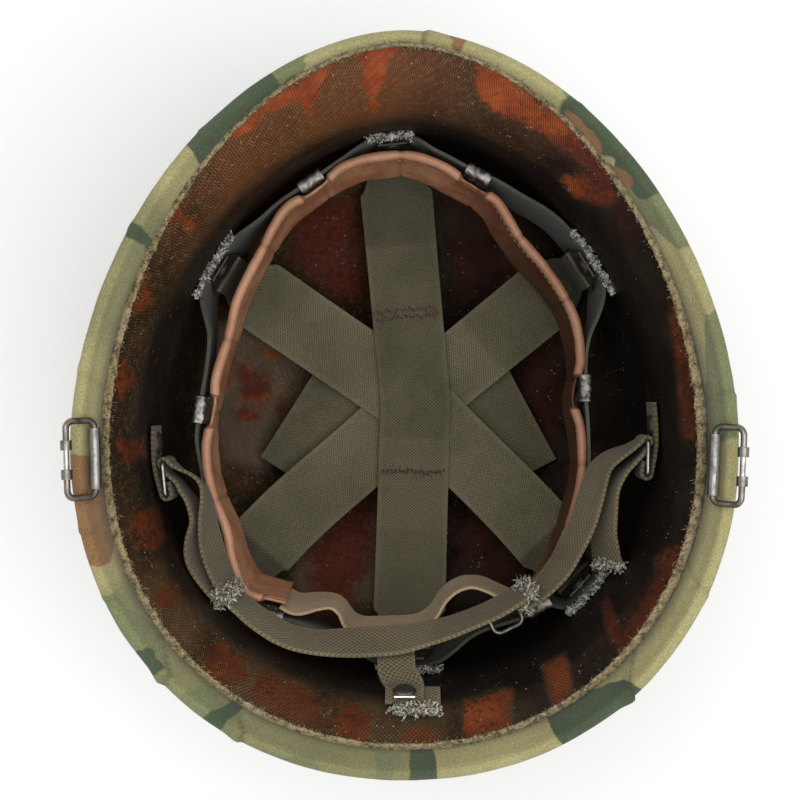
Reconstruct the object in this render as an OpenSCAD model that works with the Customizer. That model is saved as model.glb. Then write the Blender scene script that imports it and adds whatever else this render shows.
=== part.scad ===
// Combat helmet: a steel shell in a cloth cover, with two chin-strap loops on its rim, and a
// lift-out liner with its webbing suspension, leather sweatband and nape strap.
// It lies as it is put down, crown on the ground and open side up. The origin is the lowest point
// of the crown, under the middle of the rim. +Z is up, the helmet's front is at -Y and the
// wearer's right at +X. Angles go round the rim: 0 at the right, 90 at the rear, -90 at the front.

/* [Steel shell] */
// Length over the rim, front to rear
shell_length = 279.4; // [272:0.1:288]
// Width over the rim
shell_width = 241.3; // [236:0.1:250]
// Height from the crown to the deepest point of the rim at the sides
shell_height = 177.8; // [172:0.1:188]
// Thickness of the pressed steel
steel_t = 1.1; // [0.8:0.05:1.5]
// How far the front of the rim rises above the sides, as worn
shell_front_rise = 22; // [18:0.5:26]
// How far the rear of the rim rises above the sides, as worn
shell_rear_rise = 12; // [8:0.5:14]
// Outward flare of the front brim
shell_front_flare = 20; // [18:0.5:21]
// Outward flare of the rim at the sides
shell_side_flare = 6; // [4:0.5:7]
// Outward flare of the rear skirt
shell_rear_flare = 12; // [10:0.5:13]
// Height of the band along the rim that flares out
shell_flare_h = 42; // [38:1:46]
// Height of the domed part above the crown
shell_dome_h = 100; // [97:1:104]

/* [Rim bead] */
// Sheet thickness of the edge strip folded over the rim
bead_sheet = 0.9; // [0.6:0.05:1.1]
// Depth of its two legs
bead_depth = 4.5; // [3.5:0.1:6]

/* [Cloth cover] */
// Thickness of the cloth
cloth_t = 0.6; // [0.4:0.05:0.8]
// Air between the cloth and the steel
cloth_gap = 0.15; // [0.1:0.05:0.3]
// Depth of the skirt tucked in between the shell and the liner
tuck_depth = 30; // [20:1:40]
// Width of the felled seam over the crown
seam_w = 10; // [8:0.5:13]
// Height that the seam stands proud
seam_t = 0.5; // [0.3:0.05:0.8]

/* [Chin-strap loops] */
// Angle of the right loop's middle along the rim
loop_angle_right = 2; // [-6:0.5:10]
// Angle of the left loop's middle along the rim
loop_angle_left = 177; // [170:0.5:186]
// Diameter of the loop's wire
loop_wire_d = 2.4; // [2:0.1:2.8]
// Length of the loop along the rim
loop_length = 30.4; // [29:0.1:34]
// Distance from the hinge line to the middle of the outer bar
loop_reach = 12.5; // [11.5:0.1:14]
// Slope of the loop where it lies over the rim
loop_slope = 46; // [42:1:55]
// Diameter of the two barrels on the outer bar
barrel_d = 4.2; // [3.8:0.1:4.6]
// Length of each barrel
barrel_l = 3.6; // [3:0.1:5]
// Diameter of the pin between the barrels
loop_pin_d = 2.2; // [1.6:0.1:2.6]
// Length of the lug's rolled knuckle
lug_length = 22.4; // [18:0.1:23]
// Sheet thickness of the lug
lug_sheet = 0.83; // [0.6:0.01:0.85]
// Height of the lug's tab on the inside of the steel
lug_tab_h = 14; // [12:0.5:18]
// Inset of the hinge line from the rim's outer edge
lug_inset = 7.2; // [7:0.1:7.3]
// Height of the hinge line above the rim
lug_rise = 0.2; // [0:0.1:1]

/* [Liner] */
// How far the liner's edge stays inside the shell's rim in front
liner_front_gap = 5.7; // [5.2:0.1:7.7]
// How far it stays inside at the rear
liner_rear_gap = 9.7; // [9.2:0.1:11.7]
// How far it stays inside on each side
liner_side_gap = 9.65; // [9.6:0.05:11.6]
// How much less high the liner is than the shell, crown to edge at the sides
liner_height_gap = 13.1; // [11.8:0.1:17]
// Wall of moulded, resin-filled cotton duck
liner_t = 2.6; // [2.2:0.1:3]
// How far the liner's front edge rises above the sides, as worn
liner_front_rise = 10; // [8:0.5:12]
// How far the liner's rear edge rises above the sides, as worn
liner_rear_rise = 9; // [8:0.5:11]
// Outward flare of the liner's brim
liner_front_flare = 20.5; // [19:0.5:21]
// Outward flare at the sides
liner_side_flare = 5; // [4:0.5:6]
// Outward flare at the rear
liner_rear_flare = 11; // [10:0.5:12]
// Height of the band that flares out
liner_flare_h = 30; // [28:1:32]
// How much less high the liner's domed part is than the shell's
liner_dome_gap = 5; // [4:0.5:7]
// Clearance of the liner on the shell's crown
liner_seat = 0.4; // [0.3:0.05:0.6]

/* [Webbing] */
// Thickness of the cotton webbing
web_t = 1.4; // [1:0.1:1.6]
// Width of the crown straps
crown_w = 31.8; // [28:0.1:34]
// How far the right second layer's end stays from the liner's side
tail_gap_right = 58; // [56:0.5:60]
// How far the left second layer's end stays from the liner's side
tail_gap_left = 55; // [53:0.5:57]
// Height of the crossing above the ground
crossing_z = 36; // [33:0.5:44]
// Height at which the crown straps leave the wall
strap_leave_z = 80; // [74:1:82]
// Height of the crown straps' upper ends
strap_end_z = 92.5; // [90:0.5:93]
// Distance of the crown straps' ends from the wall
strap_off = 7.3; // [7.2:0.1:7.5]
// Height of the headband webbing's lower edge
headband_z = 76; // [75:0.5:78]
// Width of the headband webbing
headband_w = 28; // [24:0.5:29]
// Width of the second layers under the crossing
tail_w = 30; // [26:0.5:32]

/* [Sweatband] */
// Thickness of the leather
leather_t = 1.5; // [1.2:0.1:1.8]
// Diameter of its rolled lip
lip_d = 4; // [3.4:0.1:4.4]
// Height of the leather, rolled lip included
leather_h = 28; // [24:0.5:30]
// Thickness of the cotton piece at the rear
rear_cotton_t = 1.2; // [0.8:0.1:1.5]
// Length of each sweatband clip along the band
clip_l = 10; // [8:0.5:12]
// Sheet thickness of the clips
clip_sheet = 0.6; // [0.5:0.05:0.8]

/* [Nape strap] */
// Width of the nape strap
nape_w = 19; // [16:0.5:20]
// Depth of the nape strap's middle below the shell's height
nape_drop = 58.8; // [57.8:0.5:59.8]
// Angle of the right side tab
nape_angle_right = 1.5; // [0:0.5:3]
// Angle of the left side tab
nape_angle_left = 182.5; // [181:0.5:184]
// Diameter of the wire links and the buckle
link_wire_d = 1.8; // [1.5:0.1:2]
// Width of the rear tab
rear_tab_w = 15; // [13:0.5:16]
// Depth of the rear tab's rivet below the shell's height
rear_tab_drop = 36.8; // [35.8:0.5:37.8]

/* [Rivets and washers] */
// Diameter of the rivets' shanks
rivet_d = 4.2; // [3.6:0.1:4.6]
// Diameter of the rivets' heads
rivet_head_d = 9; // [8:0.1:9.5]
// Thickness of the rivets' heads
rivet_head_t = 1.4; // [1.1:0.1:1.5]
// Height of the washers' rivets
washer_z = 98; // [96:0.5:99]
// Width of the strap washers at their base
washer_w = 20; // [18:0.5:20.5]
// Thickness of the strap washers
washer_t = 0.8; // [0.6:0.05:0.9]

/* [Hidden] */
$fn = 40;

// Divisions round the bowls, and rows up their dome and wall
around = 40;
dome_rows = 7;
wall_shares = [0.24, 0.46, 0.63, 0.77, 0.88];
step = 360 / around;

// The rim's outline is a superellipse: pointed in front, fuller at the rear
front_power = 1.85;
rear_power = 2.08;
// The widest point lies behind the middle, and the crown's pole nearer to it
widest_y = 16;
crown_y = 8;
// Share of the full width that the dome has at the crown, the rest is draft
draft = 0.95;
// Radius of the flat on the crown
crown_flat = 12;
flare_power = 2.2;
rise_power = 2.4;

// Clearances of the fits
run_gap = 0.07;
seat_gap = 0.3;
fold_gap = 0.1;

// Heights of the nape strap's middle and of the rear tab's rivet
nape_z = shell_height - nape_drop;
rear_tab_z = shell_height - rear_tab_drop;

// Where each bowl starts above the ground
shell_base = cloth_gap + cloth_t + 0.01;
liner_base = shell_base + steel_t + liner_seat;

// half width, front reach, rear reach, flares (side, front, rear), flare height, height,
// rises (front, rear), dome height, base
shell_bowl = [shell_width / 2, shell_length / 2 + widest_y, shell_length / 2 - widest_y,
              shell_side_flare, shell_front_flare, shell_rear_flare, shell_flare_h, shell_height,
              shell_front_rise, shell_rear_rise, shell_dome_h, shell_base];
liner_bowl = [shell_width / 2 - liner_side_gap, shell_length / 2 - liner_front_gap + widest_y,
              shell_length / 2 - liner_rear_gap - widest_y,
              liner_side_flare, liner_front_flare, liner_rear_flare, liner_flare_h,
              shell_height - liner_height_gap, liner_front_rise, liner_rear_rise,
              shell_dome_h - liner_dome_gap, liner_base];

function mix(a, b, f) = a + (b - a) * f;
function unit(v) = v / norm(v);
function signed_pow(v, e) = sign(v) * pow(abs(v), e);

// Height of a bowl's rim above its base
function rim_h(b, t) = b[7] - (sin(t) < 0 ? b[8] : b[9]) * pow(abs(sin(t)), rise_power);

// Height that the dome has already climbed at the edge of the crown's flat
function flat_h(b) =
    b[10] * (1 - cos(asin(crown_flat / ((b[0] - b[3]) * draft))));

// A point of a bowl's outer surface at an angle and a height above the bowl's base
function bowl(b, t, z) =
    let (h = rim_h(b, t),
         q = max(0, 1 - (z + flat_h(b)) / b[10]),
         f = mix(draft, 1, z / h) * sqrt(max(0, 1 - q * q)),
         g = pow(max(0, (z - h + b[6]) / b[6]), flare_power),
         is_front = sin(t) < 0,
         flare = is_front ? b[4] : b[5],
         reach = is_front ? b[1] : b[2],
         power = 2 / (is_front ? front_power : rear_power))
    [(mix(b[0] - b[3], b[0], g / max(f, 0.01)) * f) * signed_pow(cos(t), power),
     mix(crown_y, widest_y, z / h)
         + ((reach - flare) * f + flare * g) * signed_pow(sin(t), power),
     b[11] + z];

// The bowl's outward normal there
function bowl_n(b, t, z) =
    unit(cross(bowl(b, t + 0.5, z) - bowl(b, t - 0.5, z),
               bowl(b, t, z + 0.25) - bowl(b, t, max(z - 0.25, 0))));

// Row k from the crown's flat to the rim, for the bowl and all that lies along it. The last but
// one is where the bead's legs end
function row_z(b, t, k) =
    let (a0 = asin(crown_flat / ((b[0] - b[3]) * draft)), top = b[10] - flat_h(b))
    k <= dome_rows ? b[10] * (1 - cos(mix(a0, 90, k / dome_rows))) - flat_h(b)
    : k == last_row ? rim_h(b, t)
    : k == last_row - 1 ? rim_h(b, t) - bead_depth
    : mix(top, rim_h(b, t), wall_shares[k - dome_rows - 1]);
last_row = dome_rows + len(wall_shares) + 2;

// A ring of points at row k, moved out by off along the normals, and in by extra at the sides
function ring(b, k, off, extra = 0) =
    [for (i = [0:around - 1])
        let (t = i * step, z = row_z(b, t, k))
        bowl(b, t, z) + (off - extra * pow(cos(t), 2)) * bowl_n(b, t, z)];

// A ring past the rim: out by off along the normal and on by up along the wall
function rim_ring(b, off, up, extra = 0) =
    [for (i = [0:around - 1])
        let (t = i * step, z = rim_h(b, t), n = bowl_n(b, t, z),
             side = unit(bowl(b, t + 0.5, z) - bowl(b, t - 0.5, z)))
        bowl(b, t, z) + (off - extra * pow(cos(t), 2)) * n + up * cross(n, side)];

// Joins rings of equal length into a solid: closed at both ends by caps, or end to end. From
// ring back on the quads are split the other way, so that both faces of a wall are split alike
module ringed(rings, closed = false, caps = [], back = 1000) {
    m = len(rings[0]);
    n = len(rings);
    sides = [for (j = [0:n - (closed ? 1 : 2)]) for (i = [0:m - 1])
        let (a = j * m + i, b = j * m + (i + 1) % m,
             c = ((j + 1) % n) * m + i, d = ((j + 1) % n) * m + (i + 1) % m)
        each (j < back ? [[a, c, b], [b, c, d]] : [[a, c, d], [a, d, b]])];
    whole = [[for (i = [0:m - 1]) i]];
    outline = len(caps) > 0 ? caps : whole;
    first = [for (f = outline) f];
    last = [for (f = outline) [for (i = [len(f) - 1:-1:0]) (n - 1) * m + f[i]]];
    polyhedron(points = [for (r = rings) each r],
               faces = closed ? sides : concat(first, sides, last), convexity = 8);
}

// The liner's inner wall: a point at a height above the ground, off the wall by inset, level
function wall_at(t, z, inset) =
    let (p = bowl(liner_bowl, t, z - liner_base), n = bowl_n(liner_bowl, t, z - liner_base),
         h = unit([n[0], n[1], 0]))
    [(p - liner_t * n - inset * h)[0], (p - liner_t * n - inset * h)[1], z];

// The liner's tangent there, level and towards larger angles
function wall_tangent(t, z) =
    let (d = bowl(liner_bowl, t + 0.5, z - liner_base) - bowl(liner_bowl, t - 0.5, z - liner_base))
    unit([d[0], d[1], 0]);

// Puts its children on the liner's inner wall: x along the wall, y up it and z off it
module on_wall(t, z) {
    p = wall_at(t, z, 0);
    n = bowl_n(liner_bowl, t, z - liner_base);
    x = -wall_tangent(t, z);
    y = cross(-n, x);
    multmatrix([[x[0], y[0], -n[0], p[0]], [x[1], y[1], -n[1], p[1]],
                [x[2], y[2], -n[2], p[2]], [0, 0, 0, 1]]) children();
}

// A smooth curve through all points of a route, with steps pieces between two
function through(a, b, c, d, f) =
    0.5 * (2 * b + (c - a) * f + (2 * a - 5 * b + 4 * c - d) * f * f
           + (3 * b - a - 3 * c + d) * f * f * f);
function curve(r, steps) =
    let (n = len(r))
    concat([for (i = [0:n - 2]) for (s = [0:steps - 1])
                through(r[max(i - 1, 0)], r[i], r[i + 1], r[min(i + 2, n - 1)], s / steps)],
           [r[n - 1]]);
function loop_curve(r, steps) =
    let (n = len(r))
    [for (i = [0:n - 1]) for (s = [0:steps - 1])
        through(r[(i + n - 1) % n], r[i], r[(i + 1) % n], r[(i + 2) % n], s / steps)];

function along(p, i, closed) =
    let (n = len(p))
    closed ? unit(p[(i + 1) % n] - p[(i + n - 1) % n])
           : unit(p[min(i + 1, n - 1)] - p[max(i - 1, 0)]);

// A flat band on edge along a level path: w high, t thick, leaning out at its top by lean
function band_rings(p, w, t, lean, closed = false) =
    [for (i = [0:len(p) - 1])
        let (d = along(p, i, closed), side = unit(cross(d, [0, 0, 1])),
             out = side[0] * p[i][0] + side[1] * (p[i][1] - widest_y) > 0 ? 1 : -1,
             up = unit([0, 0, 1] * cos(lean[i]) + side * out * sin(lean[i])), n = cross(d, up))
        [p[i] + up * w / 2 + n * t / 2, p[i] - up * w / 2 + n * t / 2,
         p[i] - up * w / 2 - n * t / 2, p[i] + up * w / 2 - n * t / 2]];

// A strap lying along a path, with its width direction given at each point
function strap_rings(p, wide, w, t) =
    [for (i = [0:len(p) - 1])
        let (d = along(p, i, false), s = unit(wide[i] - d * (wide[i] * d)), n = cross(d, s),
             h = (is_list(w) ? w[i] : w) / 2)
        [p[i] + s * h + n * t / 2, p[i] - s * h + n * t / 2,
         p[i] - s * h - n * t / 2, p[i] + s * h - n * t / 2]];

module steel_shell() {
    color("#4b5340")
    ringed(concat([for (k = [0:last_row]) ring(shell_bowl, k, 0)],
                  [for (k = [last_row:-1:0]) ring(shell_bowl, k, -steel_t)]),
           back = last_row + 1);
}

// The edge strip is folded over the rim: its two legs follow the steel down to the bead's depth
bead_out = bead_sheet + fold_gap;
function leg_ring(off, extra = 0) = ring(shell_bowl, last_row - 1, off, extra);
module rim_bead() {
    inner = -steel_t;
    color("#3f4433")
    ringed([leg_ring(bead_out), rim_ring(shell_bowl, bead_out, fold_gap),
            rim_ring(shell_bowl, bead_out / 2, bead_out),
            rim_ring(shell_bowl, inner - bead_out / 2, bead_out),
            rim_ring(shell_bowl, inner - bead_out, fold_gap), leg_ring(inner - bead_out),
            leg_ring(inner - fold_gap), rim_ring(shell_bowl, inner - fold_gap, fold_gap),
            rim_ring(shell_bowl, fold_gap, fold_gap), leg_ring(fold_gap)], closed = true);
}

// The cloth follows the steel, goes over the bead and hangs down inside, where it stands off
// the steel at the sides because the lugs' tabs lie behind it
over_bead = bead_out + cloth_gap;
tuck_off = -steel_t - over_bead;
tuck_extra = 0.9;
function cloth_rings(out) =
    concat([for (k = [0:last_row - 2]) ring(shell_bowl, k, cloth_gap + out)],
           [leg_ring(over_bead + out),
            rim_ring(shell_bowl, over_bead + out, fold_gap + out / 2),
            rim_ring(shell_bowl, bead_out / 2 + out / 2, over_bead + out),
            rim_ring(shell_bowl, -steel_t - bead_out / 2 - out / 2, over_bead + out),
            rim_ring(shell_bowl, tuck_off - out, fold_gap + out / 2),
            leg_ring(tuck_off - out, tuck_extra),
            ring(shell_bowl, last_row - 2, tuck_off - out, tuck_extra),
            ring(shell_bowl, last_row - 3, tuck_off - out, tuck_extra),
            tuck_ring(tuck_off - out, tuck_extra)]);
function tuck_ring(off, extra) =
    [for (i = [0:around - 1])
        let (t = i * step, z = rim_h(shell_bowl, t) - tuck_depth)
        bowl(shell_bowl, t, z) + (off - extra * pow(cos(t), 2)) * bowl_n(shell_bowl, t, z)];
function reversed(v) = [for (i = [len(v) - 1:-1:0]) v[i]];

module helmet_cover() {
    outer = cloth_rings(cloth_t);
    color("#8b8f63")
    difference() {
        ringed(concat(outer, reversed(cloth_rings(0))), back = len(outer));
        lug_slit(loop_angle_right);
        lug_slit(loop_angle_left);
    }
}

// The felled seam runs up the middle of the front and of the rear, and is pressed flat on the crown
function seam_path(t) =
    concat([for (k = [1:last_row - 2])
                let (z = row_z(shell_bowl, t, k))
                bowl(shell_bowl, t, z) + (cloth_gap + cloth_t + seam_t / 2 + 0.02)
                    * bowl_n(shell_bowl, t, z)],
           [for (down = [bead_depth, -fold_gap])
                let (z = rim_h(shell_bowl, t) - max(down, 0), n = bowl_n(shell_bowl, t, z))
                bowl(shell_bowl, t, z) + (over_bead + cloth_t + seam_t / 2 + 0.02) * n]);

module cover_seam() {
    color("#7f845a")
    for (t = [-90, 90]) {
        p = seam_path(t);
        ringed(strap_rings(p, [for (i = p) [1, 0, 0]], seam_w, seam_t));
    }
}

// The hinge line of a loop, and the frame that its lug and loop share: y along the rim, x out
lug_z = shell_base + shell_height + lug_rise;
function rim_tangent(t) =
    let (z = rim_h(shell_bowl, t), d = bowl(shell_bowl, t + 0.5, z) - bowl(shell_bowl, t - 0.5, z))
    unit([d[0], d[1], 0]);
function loop_centre(t) =
    let (d = rim_tangent(t), p = bowl(shell_bowl, t, rim_h(shell_bowl, t)))
    [p[0] - lug_inset * d[1], p[1] + lug_inset * d[0], lug_z];

module at_loop(t) {
    d = rim_tangent(t);
    p = loop_centre(t);
    multmatrix([[d[1], d[0], 0, p[0]], [-d[0], d[1], 0, p[1]], [0, 0, 1, p[2]], [0, 0, 0, 1]])
        children();
}

hinge_r = loop_wire_d / 2 + run_gap;
knuckle_r = hinge_r + lug_sheet;
// Inner face of the steel beside the lug, out from the hinge line at a depth under it, less the
// room that a flat tab needs in the hollow wall
function steel_x(t, down) =
    let (z = lug_z - down - shell_base, d = rim_tangent(t), p = loop_centre(t),
         q = bowl(shell_bowl, t, z) - steel_t * bowl_n(shell_bowl, t, z))
    (q[0] - p[0]) * d[1] - (q[1] - p[1]) * d[0] - 0.9;
slit_top = 5.5;
slit_low = 13;

// Rolled knuckle on the hinge line, and its tab: down past the bead, out through the slit in the
// cloth, and down the inside of the steel where it is welded
module loop_lug(t) {
    x = steel_x(t, slit_low);
    low_x = steel_x(t, slit_top + lug_tab_h);
    low = slit_top + lug_tab_h;
    color("#b9bab4")
    at_loop(t)
    rotate([90, 0, 0])
    difference() {
        union() {
            cylinder(r = knuckle_r, h = lug_length, center = true);
            translate([0, 0, -lug_length / 2])
            linear_extrude(lug_length)
            polygon([[-0.7, -hinge_r - 0.1], [0.3, -hinge_r - 0.1], [0.1 + lug_sheet, -slit_top],
                     [x, -slit_low], [low_x, -low], [low_x - lug_sheet, -low],
                     [x - lug_sheet, -slit_low - 0.4], [0, -slit_top - 0.4]]);
        }
        cylinder(r = hinge_r, h = lug_length + 2, center = true);
    }
}

// The slit that the lug comes through
module lug_slit(t) {
    at_loop(t)
    translate([-1, -lug_length / 2 - 0.7, -slit_low - 1])
    cube([steel_x(t, slit_low) + 1.6, lug_length + 1.4, slit_low - slit_top + 2]);
}

bend_r = 3;
half_length = loop_length / 2 - loop_wire_d / 2;
// A wire loop with rounded corners, hinged on its inner bar. Its outer bar is open in the middle,
// where two barrels hold the pin. It lies in the plane of x and y before it is sloped
module loop_wire() {
    r = loop_wire_d / 2;
    rotate([90, 0, 0]) cylinder(r = r, h = 2 * (half_length - bend_r), center = true);
    for (s = [-1, 1]) {
        translate([bend_r, s * (half_length - bend_r), 0])
        rotate([0, 0, s > 0 ? 90 : 180])
        rotate_extrude(angle = 90) translate([bend_r, 0]) circle(r = r);
        translate([bend_r, s * half_length, 0])
        rotate([0, 90, 0]) cylinder(r = r, h = loop_reach - 2 * bend_r);
        translate([loop_reach - bend_r, s * (half_length - bend_r), 0])
        rotate([0, 0, s > 0 ? 0 : 270])
        rotate_extrude(angle = 90) translate([bend_r, 0]) circle(r = r);
        translate([loop_reach, s * barrel_in, 0])
        rotate([-s * 90, 0, 0]) cylinder(r = r, h = half_length - bend_r - barrel_in);
        translate([loop_reach, s * barrel_in, 0])
        rotate([-s * 90, 0, 0]) cylinder(r = barrel_d / 2, h = barrel_l);
    }
}

barrel_in = 3.5;
pin_depth = 2.2;
module chinstrap_loop(t) {
    color("#c9cac6")
    at_loop(t)
    rotate([0, -loop_slope, 0])
    difference() {
        loop_wire();
        translate([loop_reach, 0, 0])
        rotate([90, 0, 0])
        cylinder(r = loop_pin_d / 2 + run_gap, h = 2 * (barrel_in + pin_depth), center = true);
    }
}

// The pin's ends sit in the barrels
module loop_pin(t) {
    color("#d6d6d3")
    at_loop(t)
    rotate([0, -loop_slope, 0])
    translate([loop_reach, 0, 0])
    rotate([90, 0, 0])
    cylinder(r = loop_pin_d / 2, h = 2 * (barrel_in + pin_depth - run_gap), center = true);
}

washer_angles = [-86, -36, 44, 91, 138, 217];
rivet_r = rivet_d / 2;

// At the washers the headband lies this far off the wall at its middle, and leans like it
band_off = 3.1;
headband_lean = 7;
headband_mid = headband_z + headband_w / 2;

// Puts its children on the headband's middle plane at a washer: y up the band, z off the wall
module on_band(t, z) {
    o = wall_at(t, headband_mid, 0);
    v = wall_at(t, headband_mid, 1) - o;
    y = [0, 0, cos(headband_lean)] - v * sin(headband_lean);
    n = v * cos(headband_lean) + [0, 0, sin(headband_lean)];
    x = cross(y, n);
    p = o + v * band_off + y * (z - headband_mid) / cos(headband_lean);
    multmatrix([[x[0], y[0], n[0], p[0]], [x[1], y[1], n[1], p[1]], [x[2], y[2], n[2], p[2]],
                [0, 0, 0, 1]]) children();
}

// Drills for a rivet, along its own axis
module rivet_hole() {
    translate([0, 0, -8]) cylinder(r = rivet_r + run_gap, h = 16);
}

module rivet_holes() {
    for (t = washer_angles) on_band(t, washer_z) rivet_hole();
    for (t = [nape_angle_right, nape_angle_left]) on_wall(t, nape_z) rivet_hole();
    on_wall(rear_tab_angle, rear_tab_z) rivet_hole();
}

module liner_shell() {
    color("#4a3a28")
    difference() {
        ringed(concat([for (k = [0:last_row]) ring(liner_bowl, k, 0)],
                      [for (k = [last_row:-1:0]) ring(liner_bowl, k, -liner_t)]),
               back = last_row + 1);
        rivet_holes();
    }
}

// A rivet through the liner's wall: its inner head stands on top and its outer head under low
module rivet(top, low) {
    cap = rivet_head_d / 2;
    translate([0, 0, low]) cylinder(r = rivet_r, h = top - low + rivet_head_t / 2);
    translate([0, 0, top])
    rotate_extrude()
    polygon([[0, 0], [cap, 0], [cap, 0.3], [cap * 0.8, rivet_head_t * 0.75],
             [cap * 0.4, rivet_head_t], [0, rivet_head_t]]);
    translate([0, 0, low - rivet_head_t * 0.6]) cylinder(r = cap, h = rivet_head_t * 0.6);
}

// The flat washers lie over the headband, which bends round behind them
washer_seat = web_t / 2 + 1.9;
washer_top = washer_seat + washer_t + fold_gap;
washer_low = -band_off - liner_t - 0.6;

module liner_rivets() {
    color("#55524a")
    for (t = washer_angles) on_band(t, washer_z) rivet(washer_top, washer_low);
}

// Plates like a letter A, with a slot for the straps at the base
module strap_washers() {
    w = washer_w / 2;
    color("#3c3c37")
    for (t = washer_angles)
        on_band(t, washer_z)
        translate([0, 0, washer_seat])
        difference() {
            linear_extrude(washer_t)
            polygon([[-w, -11], [w, -11], [w, -8], [6, 5.5], [-6, 5.5], [-w, -8]]);
            translate([-w + 3.5, -9, -1]) cube([washer_w - 7, 2.6, washer_t + 2]);
            translate([0, 0, -1]) cylinder(r = rivet_r + run_gap, h = washer_t + 2);
        }
}

// Frayed ends of the crown straps, turned over the headband's upper edge
hem_t = 2;
hem_h = 5;
hem_turns = [6, 7, 7, 7, 7, 7];
module strap_hems() {
    z = headband_z + headband_w + fold_gap + hem_h / 2;
    color("#6b6a52")
    for (i = [0:5]) {
        p = [for (f = [-1:0.5:1]) wall_at(washer_angles[i] + f * hem_turns[i], z, hem_t / 2 + 0.7)];
        ringed(band_rings(p, hem_h, hem_t, [0, 0, 0, 0, 0]));
    }
}

// The headband's route round the liner: [angle, distance off the wall]. It hangs loose between
// the washers, and leans out like the wall
headband_route = [
    [-91, 3.1], [-86, band_off], [-81, 3.1], [-73, 4.4], [-63, 6.2], [-53, 5.2], [-41, 3.1],
    [-36, band_off], [-31.5, 3.3], [-28, 6], [-22.5, 12], [-15, 15], [-6, 15], [2, 14.5],
    [13, 15], [24, 11], [34, 5], [39, 3.1], [44, band_off], [49, 3.1], [55, 5.5], [67, 9.5],
    [79, 6], [86, 3.1], [91, band_off], [96, 3.1], [102, 6.5], [109, 10.5], [120, 9],
    [126, 8.5], [129.3, 8], [132.3, 3.2], [138, band_off], [143.5, 3.3], [148, 8], [158, 19],
    [172, 23.5], [184, 24.5], [192, 23.5], [201, 18.5], [208, 8.5], [212.5, 3.3], [217, band_off],
    [222, 3.1], [229, 4], [238, 7.5], [248, 8], [261, 5]];
function off_wall(route, z) = [for (r = route) wall_at(r[0], z, r[1])];
band_knots = off_wall(headband_route, headband_mid);

module headband_webbing() {
    p = loop_curve(band_knots, 2);
    color("#35352f")
    difference() {
        ringed(band_rings(p, headband_w, web_t, [for (i = p) headband_lean], closed = true),
               closed = true);
        for (t = washer_angles) on_band(t, washer_z) rivet_hole();
    }
}

// Half of a crown strap, from the crossing to its end at the washer, where it is gathered to the
// slot's width: [point, width direction, width]
crossing_x = -5;
gathered_w = washer_w - 3;
function strap_lift(a, z) = (strap_leave_z - z) * pow(1 - cos(a), 1.25);
function strap_half(t, centre, flip) =
    let (foot = strap_top(t, strap_leave_z),
         flat = [foot[0] - centre[0], foot[1] - centre[1], 0],
         across = unit([-flat[1], flat[0], 0]) * flip,
         wide = wall_tangent(t, strap_leave_z) * flip)
    concat([for (a = [0:10:80])
                [centre + flat * sin(a) + [0, 0, strap_lift(a, centre[2])],
                 unit(mix(across, wide, pow(sin(a), 4))),
                 mix(crown_w, gathered_w, a < 65 ? 0 : (a - 60) / 25)]],
           [for (f = [0:3])
                [strap_top(t, mix(strap_leave_z, strap_end_z, f / 3)), wide, gathered_w]]);
// The straps' upper parts lie along the headband
function strap_top(t, z) =
    let (q = wall_at(t, headband_mid, strap_off + (headband_mid - z) * tan(headband_lean)))
    [q[0], q[1], z];

module crown_strap(ta, tb, z) {
    centre = [crossing_x, 0, z];
    a = strap_half(ta, centre, -1);
    b = strap_half(tb, centre, 1);
    p = concat([for (i = [len(a) - 1:-1:1]) a[i][0]], [for (s = b) s[0]]);
    w = concat([for (i = [len(a) - 1:-1:1]) a[i][1]], [for (s = b) s[1]]);
    h = concat([for (i = [len(a) - 1:-1:1]) a[i][2]], [for (s = b) s[2]]);
    color("#77765c")
    ringed(strap_rings(p, w, h, web_t));
}
layer = web_t + 2 * seat_gap;

module crown_strap_long() { crown_strap(-86, 91, crossing_z + 2 * layer); }
module crown_strap_right() { crown_strap(-36, 138, crossing_z + layer); }
module crown_strap_left() { crown_strap(217, 44, crossing_z); }

// Second layers sewn on under the crossing and hanging a little lower
tail_drop = 4;
strap_span = 106;
module crown_tail(start, end) {
    d = unit([end[0] - start[0], end[1] - start[1], 0]);
    p = [for (i = [0:7])
        let (f = i / 7, q = mix(start, end, f), r = norm([q[0] - crossing_x, q[1]]))
        [q[0], q[1], crossing_z - layer - 1 - tail_drop * f
            + strap_lift(asin(r / strap_span), crossing_z)]];
    color("#55553f")
    ringed(strap_rings(p, [for (i = p) [-d[1], d[0], 0]], tail_w, web_t));
}
module crown_tail_right() { crown_tail([24, -13], [liner_bowl[0] - tail_gap_right, 33]); }
module crown_tail_left() { crown_tail([-31, -14], [tail_gap_left - liner_bowl[0], 33]); }

// The leather's route: [angle, distance off the wall at the lip, lean of its face]
leather_route = [
    [-235, 15.2, 4], [-230, 15.8, 4], [-224, 18, 4], [-214, 22.5, 4], [-203, 25, 4], [-192, 26.5, 4], [-184, 28, 5],
    [-171, 29, 6], [-163, 24.5, 6], [-152, 20, 8], [-140, 19.5, 12], [-129, 19.5, 14],
    [-117, 13, 14], [-107, 12, 14], [-92, 9.5, 12], [-83, 8.8, 12], [-73.5, 8, 10],
    [-63, 9.4, 8], [-54, 10, 8], [-43, 15, 4], [-32, 17.5, 3], [-24, 20.5, 3], [-14, 20.5, 3],
    [0, 19.4, 3], [14, 18.6, 4], [28, 18.3, 6], [37, 13.5, 9], [46, 8.6, 14], [57, 13.5, 16]];
lip_r = lip_d / 2;
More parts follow.
